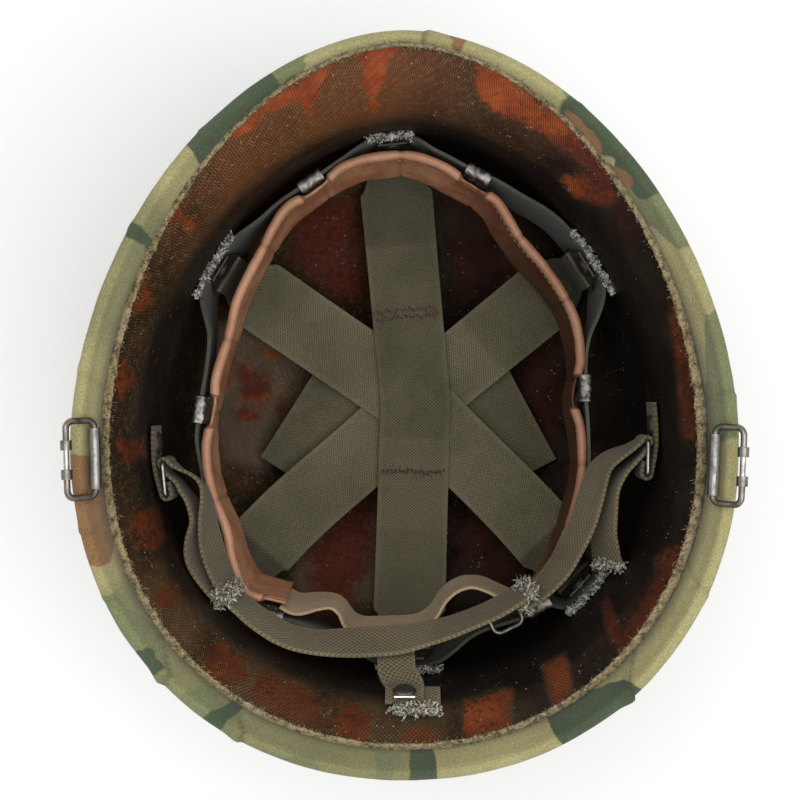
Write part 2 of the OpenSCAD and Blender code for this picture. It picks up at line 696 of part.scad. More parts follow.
// The leather's section, [inwards, up from the lip's middle]
leather_section = [
    [leather_t / 2, lip_r - leather_h], [leather_t / 2, -lip_r * 0.9], [lip_r * 0.95, -lip_r * 0.3],
    [lip_r * 0.75, lip_r * 0.66], [0, lip_r], [-lip_r * 0.75, lip_r * 0.66],
    [-lip_r * 0.95, -lip_r * 0.3], [-leather_t / 2, -lip_r * 0.9],
    [-leather_t / 2, lip_r - leather_h]];
lip_z = headband_z + headband_w;

module sweatband_leather() {
    q = curve([for (r = leather_route) [r[0], r[1], r[2]]], 2);
    p = [for (r = q) wall_at(r[0], lip_z, r[1])];
    color("#a9714f")
    ringed([for (i = [0:len(p) - 1])
                let (d = along(p, i, false), in = unit(cross([0, 0, 1], d)))
                [for (s = leather_section)
                    p[i] + in * (s[0] + max(0, -s[1]) * tan(q[i][2])) + [0, 0, s[1]]]],
           caps = [[0, 1, 7, 8], [1, 2, 3, 4, 5, 6, 7]]);
}

// The cotton piece that closes the sweatband at the rear, with its two soft folds
rear_route = [
    [56, 13.6, 15], [60, 14.2, 14], [65, 19.2, 10], [69, 21.5, 8], [72.5, 20, 8], [75.5, 16, 10],
    [79, 14.5, 10], [84, 15.5, 10], [90, 16.5, 10], [94, 17.5, 10], [97.5, 21, 8],
    [101.5, 27, 6], [106, 30, 6], [111, 30, 6], [115.5, 26.5, 8], [119.5, 20, 8], [123, 13.6, 6],
    [126.5, 11.8, 4], [130, 12.2, 4], [133.5, 13.2, 4]];
rear_h = 24;
module sweatband_rear() {
    q = curve(rear_route, 3);
    p = [for (r = q) wall_at(r[0], headband_mid, r[1])];
    color("#8d8a74")
    ringed(band_rings(p, rear_h, rear_cotton_t, [for (r = q) r[2]]));
}

// Clips that hook the leather's lip to the headband: [angle of its knot, lip's distance inwards]
clip_places = [[-63, 3.6], [-6, 5.4], [55, 7.2], [126, 7.2], [192, 4.2], [248, 4.6]];
function knot(t) = [for (i = [0:len(headband_route) - 1]) if (headband_route[i][0] == t) i][0];
module sweatband_clips() {
    n = len(band_knots);
    lean = tan(headband_lean);
    top = lip_z + lip_r + 2 * fold_gap;
    low = headband_z + headband_w - 8;
    color("#a3a49e")
    for (c = clip_places) {
        i = knot(c[0]);
        p = band_knots[i];
        d = unit(band_knots[(i + 1) % n] - band_knots[(i + n - 1) % n]);
        v = cross([0, 0, 1], d);
        leg = -web_t / 2 - 4 * fold_gap;
        low_x = leg - (low - headband_mid) * lean;
        top_x = leg - (top - headband_mid) * lean;
        hook = c[1] + lip_r + 2 * fold_gap;
        multmatrix([[v[0], 0, -d[0], p[0]], [v[1], 0, -d[1], p[1]], [0, 1, 0, 0], [0, 0, 0, 1]])
        translate([0, 0, -clip_l / 2])
        linear_extrude(clip_l)
        polygon([[low_x - clip_sheet, low], [top_x - clip_sheet, top + clip_sheet],
                 [hook + clip_sheet, top + clip_sheet], [hook + clip_sheet, top - 2],
                 [hook, top - 2], [hook, top], [top_x, top], [low_x, low]]);
    }
}

// The wire buckle that rides on the headband's upper edge where the leather ends
buckle_angle = 117;
module sweatband_buckle() {
    r = link_wire_d / 2;
    p = wall_at(buckle_angle, headband_z + headband_w + fold_gap + r, 14);
    d = wall_tangent(buckle_angle, headband_z + headband_w);
    color("#b4b6b2")
    multmatrix([[d[0], -d[1], 0, p[0]], [d[1], d[0], 0, p[1]], [0, 0, 1, p[2]], [0, 0, 0, 1]])
    wire_frame(13, 10, 3, r);
}

// A closed wire frame with round corners in the plane of x and y, sizes over the wire's middle
module wire_frame(l, w, bend, r) {
    for (s = [-1, 1]) {
        translate([s * l / 2, 0, 0])
        rotate([90, 0, 0]) cylinder(r = r, h = w - 2 * bend, center = true);
        translate([0, s * w / 2, 0])
        rotate([0, 90, 0]) cylinder(r = r, h = l - 2 * bend, center = true);
    }
    for (q = [[1, 1, 0], [-1, 1, 90], [-1, -1, 180], [1, -1, 270]])
        translate([q[0] * (l / 2 - bend), q[1] * (w / 2 - bend), 0])
        rotate([0, 0, q[2]])
        rotate_extrude(angle = 90) translate([bend, 0]) circle(r = r);
}

// Routes of the nape webbing at its middle height: [angle, distance off the wall, lean]
centre_route = [
    [41, 6.2, 16], [47.5, 7.0, 22], [54.5, 7.2, 26], [61, 7.6, 27], [67.5, 9.6, 29],
    [74.5, 12.8, 35], [82, 15.6, 38], [89, 17.2, 35], [96, 19.4, 28], [106.5, 21.4, 21],
    [117, 22.2, 20], [127, 22.4, 18]];
module nape_strap() {
    q = curve(centre_route, 3);
    color("#6f7156")
    ringed(band_rings([for (r = q) wall_at(r[0], nape_z, r[1])], nape_w, web_t + 0.2,
                      [for (r = q) r[2]]));
}

// Turn of a band round a wire: from its wall side to its inner side, sense 1 towards the rear
turn_r = link_wire_d / 2 + seat_gap + web_t / 2;
function turn(t, off, sense) =
    let (c = wall_at(t, nape_z, off), q = wall_at(t, nape_z, off + 1), v = q - c,
         d = wall_tangent(t, nape_z), u = d * (d[1] > 0 ? 1 : -1))
    [for (a = [0:45:180]) c + turn_r * (sense * sin(a) * u - cos(a) * v)];
function on_route(r) = [for (q = curve(r, 2)) wall_at(q[0], nape_z, q[1])];
function leans(r) = [for (q = curve(r, 2)) q[2]];

// A strap end: its outer run from the free end to the link, round the link, and its inner run
module nape_end(outer, link, inner) {
    p = concat(on_route(outer), turn(link[0], link[1], -1), on_route(inner));
    color("#77785e")
    ringed(band_rings(p, nape_w, web_t,
                      concat(leans(outer), [0, 0, 0, 0, 0], leans(inner))));
}

// The links stand between the strap end and the tab: [angle, distance off the wall] of their bars
right_front_bar = [6, 5.2];
right_rear_bar = [13.4, 4.4];
left_front_bar = [179, 5.2];
left_rear_bar = [171.6, 4.4];

module nape_end_right() {
    nape_end([[42.5, 4.3, 15], [37, 4.4, 18], [31, 5.2, 22], [27, 8, 20], [22.5, 12.2, 12],
              [19, 12.8, 8], [16, 12.2, 5], [13, 10.2, 2], [10.8, 8.8, 0], [8.5, 5.6, 0]],
             right_front_bar,
             [[8, 10.5, -4], [10, 15, -6], [13, 18, -4], [17, 18.2, 4], [22, 16.2, 12],
              [29, 13, 20], [34, 10.8, 20], [38.5, 9, 18], [43, 8.5, 17]]);
}

module nape_end_left() {
    nape_end([[147.5, 5.6, 28], [151, 10, 27], [155, 13.6, 24], [163, 16.2, 16], [167, 16, 12],
              [171, 13.4, 6], [174, 9.4, 1], [176.4, 5.8, 0]],
             left_front_bar,
             [[177.3, 11, 4], [175, 17, 12], [172.6, 20.8, 16], [169.4, 22.6, 20],
              [163, 23.2, 24], [155, 22.4, 25], [147, 21.8, 25], [139, 20.2, 23],
              [132, 19.6, 20], [124, 19.6, 18]]);
}

// A tab on the wall: from its front end past the rivet and round the link's rear bar
module nape_tab(rivet_angle, route, link) {
    turned = turn(link[0], link[1], 1);
    back = turned[4] - turned[0];
    forward = -unit(turned[2] - (turned[0] + turned[4]) / 2);
    p = concat(on_route(route), turned, [turned[4] + 2.5 * forward, turned[4] + 5 * forward]);
    color("#63644c")
    difference() {
        ringed(band_rings(p, nape_w, web_t, [for (i = p) 0]));
        on_wall(rivet_angle, nape_z) rivet_hole();
    }
}
tab_off = web_t / 2 + 0.75;
module nape_tab_right() {
    nape_tab(nape_angle_right, [[-2.5, tab_off], [2, tab_off], [6, tab_off], [9.5, tab_off + 0.4]],
             right_rear_bar);
}
module nape_tab_left() {
    nape_tab(nape_angle_left, [[187.5, tab_off], [183, tab_off], [179, tab_off],
                               [175.5, tab_off + 0.4]], left_rear_bar);
}

// The wire link between two bars, standing as high as the webbing is wide
module nape_link(front, rear) {
    r = link_wire_d / 2;
    a = wall_at(front[0], nape_z, front[1]);
    b = wall_at(rear[0], nape_z, rear[1]);
    d = unit(b - a);
    color("#b4b6b2")
    multmatrix([[d[0], 0, d[1], (a[0] + b[0]) / 2], [d[1], 0, -d[0], (a[1] + b[1]) / 2],
                [0, 1, 0, a[2]], [0, 0, 0, 1]])
    wire_frame(norm(b - a), nape_w + 2 * (1.2 + seat_gap + r), 1.2, r);
}
module nape_link_right() { nape_link(right_front_bar, right_rear_bar); }
module nape_link_left() { nape_link(left_front_bar, left_rear_bar); }

module nape_rivets() {
    color("#8f8f88") {
        for (t = [nape_angle_right, nape_angle_left])
            on_wall(t, nape_z) rivet(tab_off + web_t / 2 + 2 * fold_gap, -liner_t - seat_gap);
        on_wall(rear_tab_angle, rear_tab_z)
        rivet(rear_tab_off + web_t / 2 + 0.4, -liner_t - 2 * seat_gap);
    }
}

// The rear tab climbs from behind the nape strap to the wall, and its end is folded in behind
rear_tab_angle = 90;
rear_fold_off = web_t / 2 + 1.3;
rear_tab_off = rear_fold_off + web_t + 0.4;
module rear_tab() {
    foot = wall_at(89, nape_z, 17.2);
    up = [for (z = [rear_tab_z - 6, rear_tab_z - 2, rear_tab_z + 2, rear_tab_z + 6])
              wall_at(rear_tab_angle, z, rear_tab_off)];
    p = curve(concat([foot + [2, 2.6, -1], foot + [1.5, 7.2, 5.5], foot + [1, 11.4, 11]], up), 2);
    color("#5f6048")
    difference() {
        union() {
            ringed(strap_rings(p, [for (i = p) [1, 0, 0]], rear_tab_w, web_t));
            on_wall(rear_tab_angle, rear_tab_z)
            translate([1 - rear_tab_w, -7, rear_fold_off - web_t / 2])
            cube([rear_tab_w + 3, 14, web_t]);
        }
        on_wall(rear_tab_angle, rear_tab_z) rivet_hole();
        staple(link_wire_d / 3 + run_gap);
    }
}

// The staple beside the rear tab's fold
module staple(r) {
    on_wall(rear_tab_angle, rear_tab_z)
    translate([0, 5.6, rear_tab_off + web_t / 2 + 0.5 + link_wire_d / 3])
    for (s = [-1, 1]) {
        rotate([0, 90, 0]) cylinder(r = r, h = 8, center = true);
        translate([s * 3.4, 0, -2.2]) cylinder(r = r, h = 2.2);
    }
}
module rear_tab_staple() {
    color("#d6d6d3") staple(link_wire_d / 3);
}

steel_shell();
rim_bead();
helmet_cover();
cover_seam();
loop_lug(loop_angle_right);  // loop_lug_right
loop_lug(loop_angle_left);  // loop_lug_left
chinstrap_loop(loop_angle_right);  // chinstrap_loop_right
chinstrap_loop(loop_angle_left);  // chinstrap_loop_left
loop_pin(loop_angle_right);  // loop_pin_right
loop_pin(loop_angle_left);  // loop_pin_left
liner_shell();
liner_rivets();
strap_washers();
strap_hems();
headband_webbing();
crown_strap_long();
crown_strap_right();
crown_strap_left();
crown_tail_right();
crown_tail_left();
sweatband_leather();
sweatband_rear();
sweatband_clips();
sweatband_buckle();
nape_strap();
nape_end_right();
nape_end_left();
nape_tab_right();
nape_tab_left();
nape_link_right();
nape_link_left();
nape_rivets();
rear_tab();
rear_tab_staple();
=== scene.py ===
import math

import bpy
import numpy as np
from bpy.props import FloatProperty, FloatVectorProperty, IntProperty
from mathutils import Matrix, Vector, noise


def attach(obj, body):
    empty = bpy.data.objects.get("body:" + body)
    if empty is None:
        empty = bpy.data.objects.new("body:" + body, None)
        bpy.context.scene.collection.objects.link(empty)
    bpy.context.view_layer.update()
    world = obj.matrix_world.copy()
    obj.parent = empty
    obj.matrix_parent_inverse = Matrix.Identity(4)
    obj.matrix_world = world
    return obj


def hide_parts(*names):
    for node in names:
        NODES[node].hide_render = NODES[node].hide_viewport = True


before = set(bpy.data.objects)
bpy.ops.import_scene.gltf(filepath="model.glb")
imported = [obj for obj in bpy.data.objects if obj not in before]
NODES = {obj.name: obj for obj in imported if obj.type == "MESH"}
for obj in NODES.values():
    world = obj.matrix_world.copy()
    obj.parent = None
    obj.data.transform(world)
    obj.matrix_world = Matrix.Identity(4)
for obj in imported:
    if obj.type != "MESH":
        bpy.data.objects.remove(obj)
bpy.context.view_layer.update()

bl_info = {
    "name": "Covered combat helmet",
    "version": (1, 0, 0),
    "blender": (4, 5, 0),
    "location": "3D View > Sidebar > Helmet",
    "description": "Dresses the packed helmet: cover, liner, webbing, sweatband and fittings",
    "category": "Object",
}

MM = 0.001
UP = np.array([0.0, 0.0, 1.0])

# Bowls, in millimetres
# Both bowls follow one law: a dome with a little draft, a wall, and a flared rim whose height
# changes round it. Angles are in degrees: 0 the wearer's right, 90 the rear, -90 the front.
# First where the bowls are widest, where their poles stand, the draft, and the flat at the pole,
# then the powers of the plan's two halves, of the flare and of the rim's rise.
WIDEST_Y, CROWN_Y, DRAFT, CROWN_FLAT = 16.0, 8.0, 0.95, 12.0
FRONT_POWER, REAR_POWER, FLARE_POWER, RISE_POWER = 1.85, 2.08, 2.2, 2.4


class Bowl:
    """The outer surface of a bowl that stands on its crown."""

    def __init__(self, half, front, rear, flares, flare_h, height, rises, dome, base):
        self.half, self.front, self.rear = half, front + WIDEST_Y, rear - WIDEST_Y
        self.side_flare, self.front_flare, self.rear_flare = flares
        self.flare_h, self.height, self.rises = flare_h, height, rises
        self.dome, self.base = dome, base
        self.lean = math.asin(CROWN_FLAT / ((half - self.side_flare) * DRAFT))
        self.flat = dome * (1 - math.cos(self.lean))
        self.top = dome - self.flat

    def rim(self, t):
        """Height of the rim at angle t."""
        s = np.sin(np.radians(t))
        return self.height - np.where(s < 0, *self.rises) * np.abs(s) ** RISE_POWER

    def at(self, t, z):
        """Points of the outer surface at angle t and height z above the bowl's base."""
        t, z = np.broadcast_arrays(np.asarray(t, float), np.asarray(z, float))
        s, c, h = np.sin(np.radians(t)), np.cos(np.radians(t)), self.rim(t)
        q = np.maximum(0, 1 - (z + self.flat) / self.dome)
        f = (DRAFT + (1 - DRAFT) * z / h) * np.sqrt(np.maximum(0, 1 - q * q))
        g = np.maximum(0, (z - h + self.flare_h) / self.flare_h) ** FLARE_POWER
        front = s < 0
        flare = np.where(front, self.front_flare, self.rear_flare)
        reach = np.where(front, self.front, self.rear)
        power = 2 / np.where(front, FRONT_POWER, REAR_POWER)
        x = ((self.half - self.side_flare) * f + self.side_flare * g) * spow(c, power)
        middle = CROWN_Y + (WIDEST_Y - CROWN_Y) * z / h
        y = middle + ((reach - flare) * f + flare * g) * spow(s, power)
        return np.stack([x, y, self.base + z], -1)

    def normal(self, t, z):
        """Outward directions of the surface."""
        t, z = np.broadcast_arrays(np.asarray(t, float), np.asarray(z, float))
        a = self.at(t + 0.5, z) - self.at(t - 0.5, z)
        b = self.at(t, z + 0.25) - self.at(t, np.maximum(z - 0.25, 0))
        return unit(np.cross(a, b))

    def dome_heights(self, count):
        """Heights of count rows, from the flat of the crown to the foot of the wall."""
        a = self.lean + (math.pi / 2 - self.lean) * np.linspace(0, 1, count)
        return self.dome * (1 - np.cos(a)) - self.flat


def spow(v, e):
    """A power that keeps the sign."""
    return np.sign(v) * np.abs(v) ** e


def unit(v):
    """Directions with a length of one."""
    v = np.asarray(v, float)
    return v / np.maximum(np.linalg.norm(v, axis=-1, keepdims=True), 1e-9)


def blendin(a, b, f):
    """From a to b as f goes from 0 to 1."""
    return a + (b - a) * f


def smooth(x, low, high):
    """0 at low, 1 at high and an easy curve between. Low may be the greater one."""
    f = np.clip((x - low) / (high - low), 0, 1)
    return f * f * (3 - 2 * f)


# Thicknesses of the three layers and the gaps between them. The cover stands 0.01 off the ground
CLOTH_T, CLOTH_GAP, STEEL_T, LINER_GAP, LINER_T = 0.6, 0.15, 1.1, 0.4, 2.6
SHELL_BASE = CLOTH_GAP + CLOTH_T + 0.01
# Flares are at the side, in front and at the rear, and rises of the rim in front and at the rear
SHELL = Bowl(half=120.65, front=139.7, rear=139.7, flares=(6, 20, 12), flare_h=42, height=177.8,
             rises=(22, 12), dome=100, base=SHELL_BASE)
LINER = Bowl(half=111, front=134, rear=130, flares=(5, 20.5, 11), flare_h=30, height=164.7,
             rises=(10, 9), dome=95, base=SHELL_BASE + STEEL_T + LINER_GAP)


def wall_at(t, z, inset):
    """Points off the liner's inner wall: z above the ground, inset level towards the middle."""
    t, z, inset = np.broadcast_arrays(*(np.asarray(v, float) for v in (t, z, inset)))
    n = LINER.normal(t, z - LINER.base)
    level = unit(np.stack([n[..., 0], n[..., 1], np.zeros(n.shape[:-1])], -1))
    p = LINER.at(t, z - LINER.base) - LINER_T * n - inset[..., None] * level
    return np.stack([p[..., 0], p[..., 1], z], -1)


def wall_tangent(t, z):
    """The level direction round the liner, where its angle grows."""
    d = LINER.at(t + 0.5, z - LINER.base) - LINER.at(t - 0.5, z - LINER.base)
    return unit(np.array([d[0], d[1], 0.0]))


def spline(points, steps, closed=False):
    """A smooth curve through all points, with steps pieces between two."""
    p = np.asarray(points, float)
    n = len(p)
    out = []
    for i in range(n if closed else n - 1):
        if closed:
            a, b, c, d = (p[(i + k) % n] for k in (-1, 0, 1, 2))
        else:
            a, b, c, d = (p[min(max(i + k, 0), n - 1)] for k in (-1, 0, 1, 2))
        for s in range(steps):
            f = s / steps
            out.append(0.5 * (2 * b + (c - a) * f + (2 * a - 5 * b + 4 * c - d) * f * f
                              + (3 * b - a - 3 * c + d) * f ** 3))
    out.append(p[0] if closed else p[-1])
    return np.array(out)


def along(p, closed=False):
    """The direction of a path at each of its points."""
    if closed:
        q = p[:-1]
        d = unit(np.roll(q, -1, 0) - np.roll(q, 1, 0))
        return np.vstack([d, d[:1]])
    d = np.empty_like(p)
    d[1:-1] = p[2:] - p[:-2]
    d[0], d[-1] = p[1] - p[0], p[-1] - p[-2]
    return unit(d)


def waves(points, scale, seed):
    """Smooth noise from -1 to 1 at points in millimetres, one feature per scale millimetres."""
    return np.array([noise.noise(Vector(q) / scale + Vector((seed * 7.3, seed * 3.1, seed)))
                     for q in np.asarray(points, float)])


def wrapped(angle):
    """An angle in degrees, brought to -180 to 180."""
    return (angle + 180) % 360 - 180


def step_of(share, count):
    """Which of count steps a share from 0 to 1 stands on."""
    return np.clip(np.rint(share * count).astype(int), 0, count)


def sideways(count):
    """A strip's width direction at each of its count points: the helmet's own x."""
    return np.tile([1.0, 0, 0], (count, 1))


# Meshes
def coordinates(me):
    """The vertices of a mesh, one row each, in metres."""
    co = np.empty(len(me.vertices) * 3, np.float32)
    me.vertices.foreach_get("co", co)
    return co.reshape(-1, 3)


def store(me, name, value):
    """Keeps one value for each vertex as an attribute."""
    me.attributes.new(name, "FLOAT", "POINT").data.foreach_set(
        "value", np.asarray(value, np.float32))


def mesh_of(name, verts, faces):
    """A new object from points in mm and faces."""
    me = bpy.data.meshes.new(name)
    me.from_pydata((np.array(verts) * MM).tolist(), [], faces)
    ob = bpy.data.objects.new(name, me)
    bpy.context.scene.collection.objects.link(ob)
    return ob


def clear_selection():
    """Leaves edit mode and selects nothing."""
    if bpy.context.object is not None and bpy.context.object.mode != "OBJECT":
        bpy.ops.object.mode_set(mode="OBJECT")
    bpy.ops.object.select_all(action="DESELECT")


def select(ob):
    clear_selection()
    ob.select_set(True)
    bpy.context.view_layer.objects.active = ob


def apply_modifier(ob, name, kind, **values):
    """Gives a piece a modifier and applies it."""
    select(ob)
    m = ob.modifiers.new(name, kind)
    for key, value in values.items():
        setattr(m, key, value)
    bpy.ops.object.modifier_apply(modifier=m.name)


def sheet_mesh(name, columns, rows, place, closed=False):
    """A grid, laid where place(u, v) says: it returns points in mm and, for the UV map, two
    lengths in mm. The ends of a closed one are joined. Extra point values follow as a dict."""
    clear_selection()
    bpy.ops.mesh.primitive_grid_add(x_subdivisions=columns, y_subdivisions=rows, size=1)
    ob = bpy.context.object
    ob.name = ob.data.name = name
    me = ob.data
    u, v = (coordinates(me)[:, :2] + 0.5).astype(float).T
    points, lengths, values = place(u, v)
    me.vertices.foreach_set("co", (points * MM).astype(np.float32).ravel())
    loops = np.empty(len(me.loops), np.int32)
    me.loops.foreach_get("vertex_index", loops)
    uv = (np.stack(lengths, -1) * MM)[loops].astype(np.float32)
    me.uv_layers[0].data.foreach_set("uv", uv.ravel())
    for key, value in values.items():
        store(me, key, value)
    me.update()
    if closed:
        bpy.ops.object.mode_set(mode="EDIT")
        bpy.ops.mesh.select_all(action="SELECT")
        bpy.ops.mesh.remove_doubles(threshold=0.00004)
        bpy.ops.object.mode_set(mode="OBJECT")
    return ob


def finished(ob, body, material, replaces=(), angle=None):
    """Smooth shading, material, body and slot of a piece."""
    select(ob)
    if angle is None:
        bpy.ops.object.shade_smooth()
    else:
        bpy.ops.object.shade_smooth_by_angle(angle=math.radians(angle))
    ob.data.materials.clear()
    ob.data.materials.append(material)
    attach(ob, body)
    if replaces:
        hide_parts(*replaces)


def thicken(ob, thickness, bevel=0.0):
    """Turns a sheet into a wall, half to either side, with its sharp edges rounded."""
    apply_modifier(ob, "Thickness", "SOLIDIFY", thickness=thickness * MM, offset=0.0,
                   use_even_offset=False)
    if bevel:
        apply_modifier(ob, "Edges", "BEVEL", width=bevel * MM, segments=2, limit_method="ANGLE",
                       angle_limit=math.radians(50))


def resample(p, extra, count, closed=False):
    """Spreads count + 1 points evenly along a path. Extra arrays go with them."""
    s = np.concatenate([[0], np.cumsum(np.linalg.norm(np.diff(p, axis=0), axis=1))])
    even = np.linspace(0, s[-1], count + 1)

    def take(a):
        return np.stack([np.interp(even, s, a[:, k]) for k in range(a.shape[1])], -1)

    q = take(p)
    if closed:
        q[-1] = q[0]
    return q, [take(np.asarray(a, float).reshape(len(p), -1)) for a in extra], s[-1]


def ribbon(name, path, side, width, thickness, across=12, spacing=1.6, closed=False, wave=0.25,
           seed=1, shade=None, bevel=0.25):
    """A strip of webbing or cloth along a path: side is its width direction at each point. The UV
    map runs along it and across it. The attribute painted_shade holds shade(mm along it), 0 to 1:
    painted shade on the strip."""
    width = np.broadcast_to(np.asarray(width, float), (len(path),))
    length = np.linalg.norm(np.diff(path, axis=0), axis=1).sum()
    count = max(8, int(length / spacing))
    p, (s, w), length = resample(path, [side, width], count, closed)
    d = along(p, closed)
    s = unit(s - d * (s * d).sum(1)[:, None])
    n = np.cross(d, s)
    w = w[:, 0]

    def place(u, v):
        i = step_of(u, count)
        cross = v - 0.5
        q = p[i] + s[i] * (cross * w[i])[:, None]
        lift = wave * waves(q, 14, seed) + 0.4 * wave * waves(q, 5, seed + 1)
        if closed:
            lift = lift * smooth(np.minimum(u, 1 - u), 0.0, 0.01)
        q = q + n[i] * lift[:, None]
        painted_shade = np.zeros(len(u)) if shade is None else shade(u * length)
        return q, (u * length, v * w[i]), {"painted_shade": painted_shade, "edge": np.abs(cross) * 2}

    ob = sheet_mesh(name, count, across, place, closed)
    thicken(ob, thickness, bevel)
    return ob


def lean_side(p, lean, closed=False):
    """The height direction of a band on edge along a level path, leaning out at its top."""
    d = along(p, closed)
    side = unit(np.cross(d, UP))
    out = np.where(side[:, 0] * p[:, 0] + side[:, 1] * (p[:, 1] - WIDEST_Y) > 0, 1, -1)
    lean = np.radians(np.broadcast_to(lean, (len(p),)))
    return unit(UP * np.cos(lean)[:, None] + side * (out * np.sin(lean))[:, None])


def add_tube(verts, faces, rings, inward=False):
    """Adds a closed tube to a mesh in the making. Its rings have equally many points, and
    inward tells that these run the other way round."""
    base, sides, last = len(verts), len(rings[0]), len(rings) - 1
    for ring in rings:
        verts.extend(ring)
    for j in range(last):
        for m in range(sides):
            e, g = base + j * sides + m, base + j * sides + (m + 1) % sides
            faces.append((e, e + sides, g + sides, g) if inward else (e, g, g + sides, e + sides))
    first, final = (tuple(base + j * sides + m for m in range(sides)) for j in (0, last))
    faces.extend([first, final[::-1]] if inward else [first[::-1], final])


def ring_of(centre, radius, a, b, sides):
    """Points round a centre, in the plane of a and b."""
    return [centre + radius * (math.cos(w) * a + math.sin(w) * b)
            for w in (2 * math.pi * m / sides for m in range(sides))]


def threads(name, starts, directions, length, radius, seed, bend=0.5, sides=3):
    """Loose fibres: thin bent strands from each start, as one mesh of points in mm."""
    rng = np.random.default_rng(seed)
    starts, directions = np.asarray(starts, float), unit(directions)
    count = len(starts)
    lengths = length * rng.uniform(0.45, 1.2, count)
    curl = unit(rng.normal(size=(count, 3)))
    curl2 = unit(rng.normal(size=(count, 3)))
    verts, faces = [], []
    for k in range(count):
        d = directions[k]
        a = unit(np.cross(d, curl2[k]))
        b = np.cross(d, a)
        rings = []
        for f in (0, 0.25, 0.5, 0.75, 1):
            c = (starts[k] + lengths[k] * (f * d + bend * f * f * curl[k]
                                          + 0.25 * bend * math.sin(5 * f + k) * curl2[k]))
            rings.append(ring_of(c, radius * (1 - 0.55 * f), a, b, sides))
        add_tube(verts, faces, rings)
    return mesh_of(name, verts, faces)


def stitches(name, runs, radius=0.32, length=2.1, gap=0.7):
    """Rows of thread stitches: each run is (points in mm, outward directions). A stitch is a
    small spindle that dips at both ends."""
    verts, faces = [], []
    count = 400
    for points, normals in runs:
        p, (n,), total = resample(np.asarray(points, float), [normals], count)
        s = np.linspace(0, total, count + 1)
        at = gap
        while at + length < total:
            c, e = (np.array([np.interp(at + length / 2 + ahead, s, p[:, k]) for k in range(3)])
                    for ahead in (0, 0.4))
            up = unit(np.array([np.interp(at, s, n[:, k]) for k in range(3)]))
            d = unit(e - c)
            b = unit(np.cross(d, up))
            up = np.cross(b, d)
            rings = []
            for f in (-1, -0.5, 0, 0.5, 1):
                mid = c + d * f * length / 2 + up * radius * (0.5 - 0.9 * f * f)
                rings.append(ring_of(mid, radius * math.sqrt(max(0.08, 1 - f * f)), b, up, 6))
            add_tube(verts, faces, rings, inward=True)
            at += length + gap
    return mesh_of(name, verts, faces)


def joined(name, parts):
    """Joins several objects into the first one, under a new name."""
    clear_selection()
    for o in parts:
        o.select_set(True)
    bpy.context.view_layer.objects.active = parts[0]
    bpy.ops.object.join()
    parts[0].name = parts[0].data.name = name
    return parts[0]


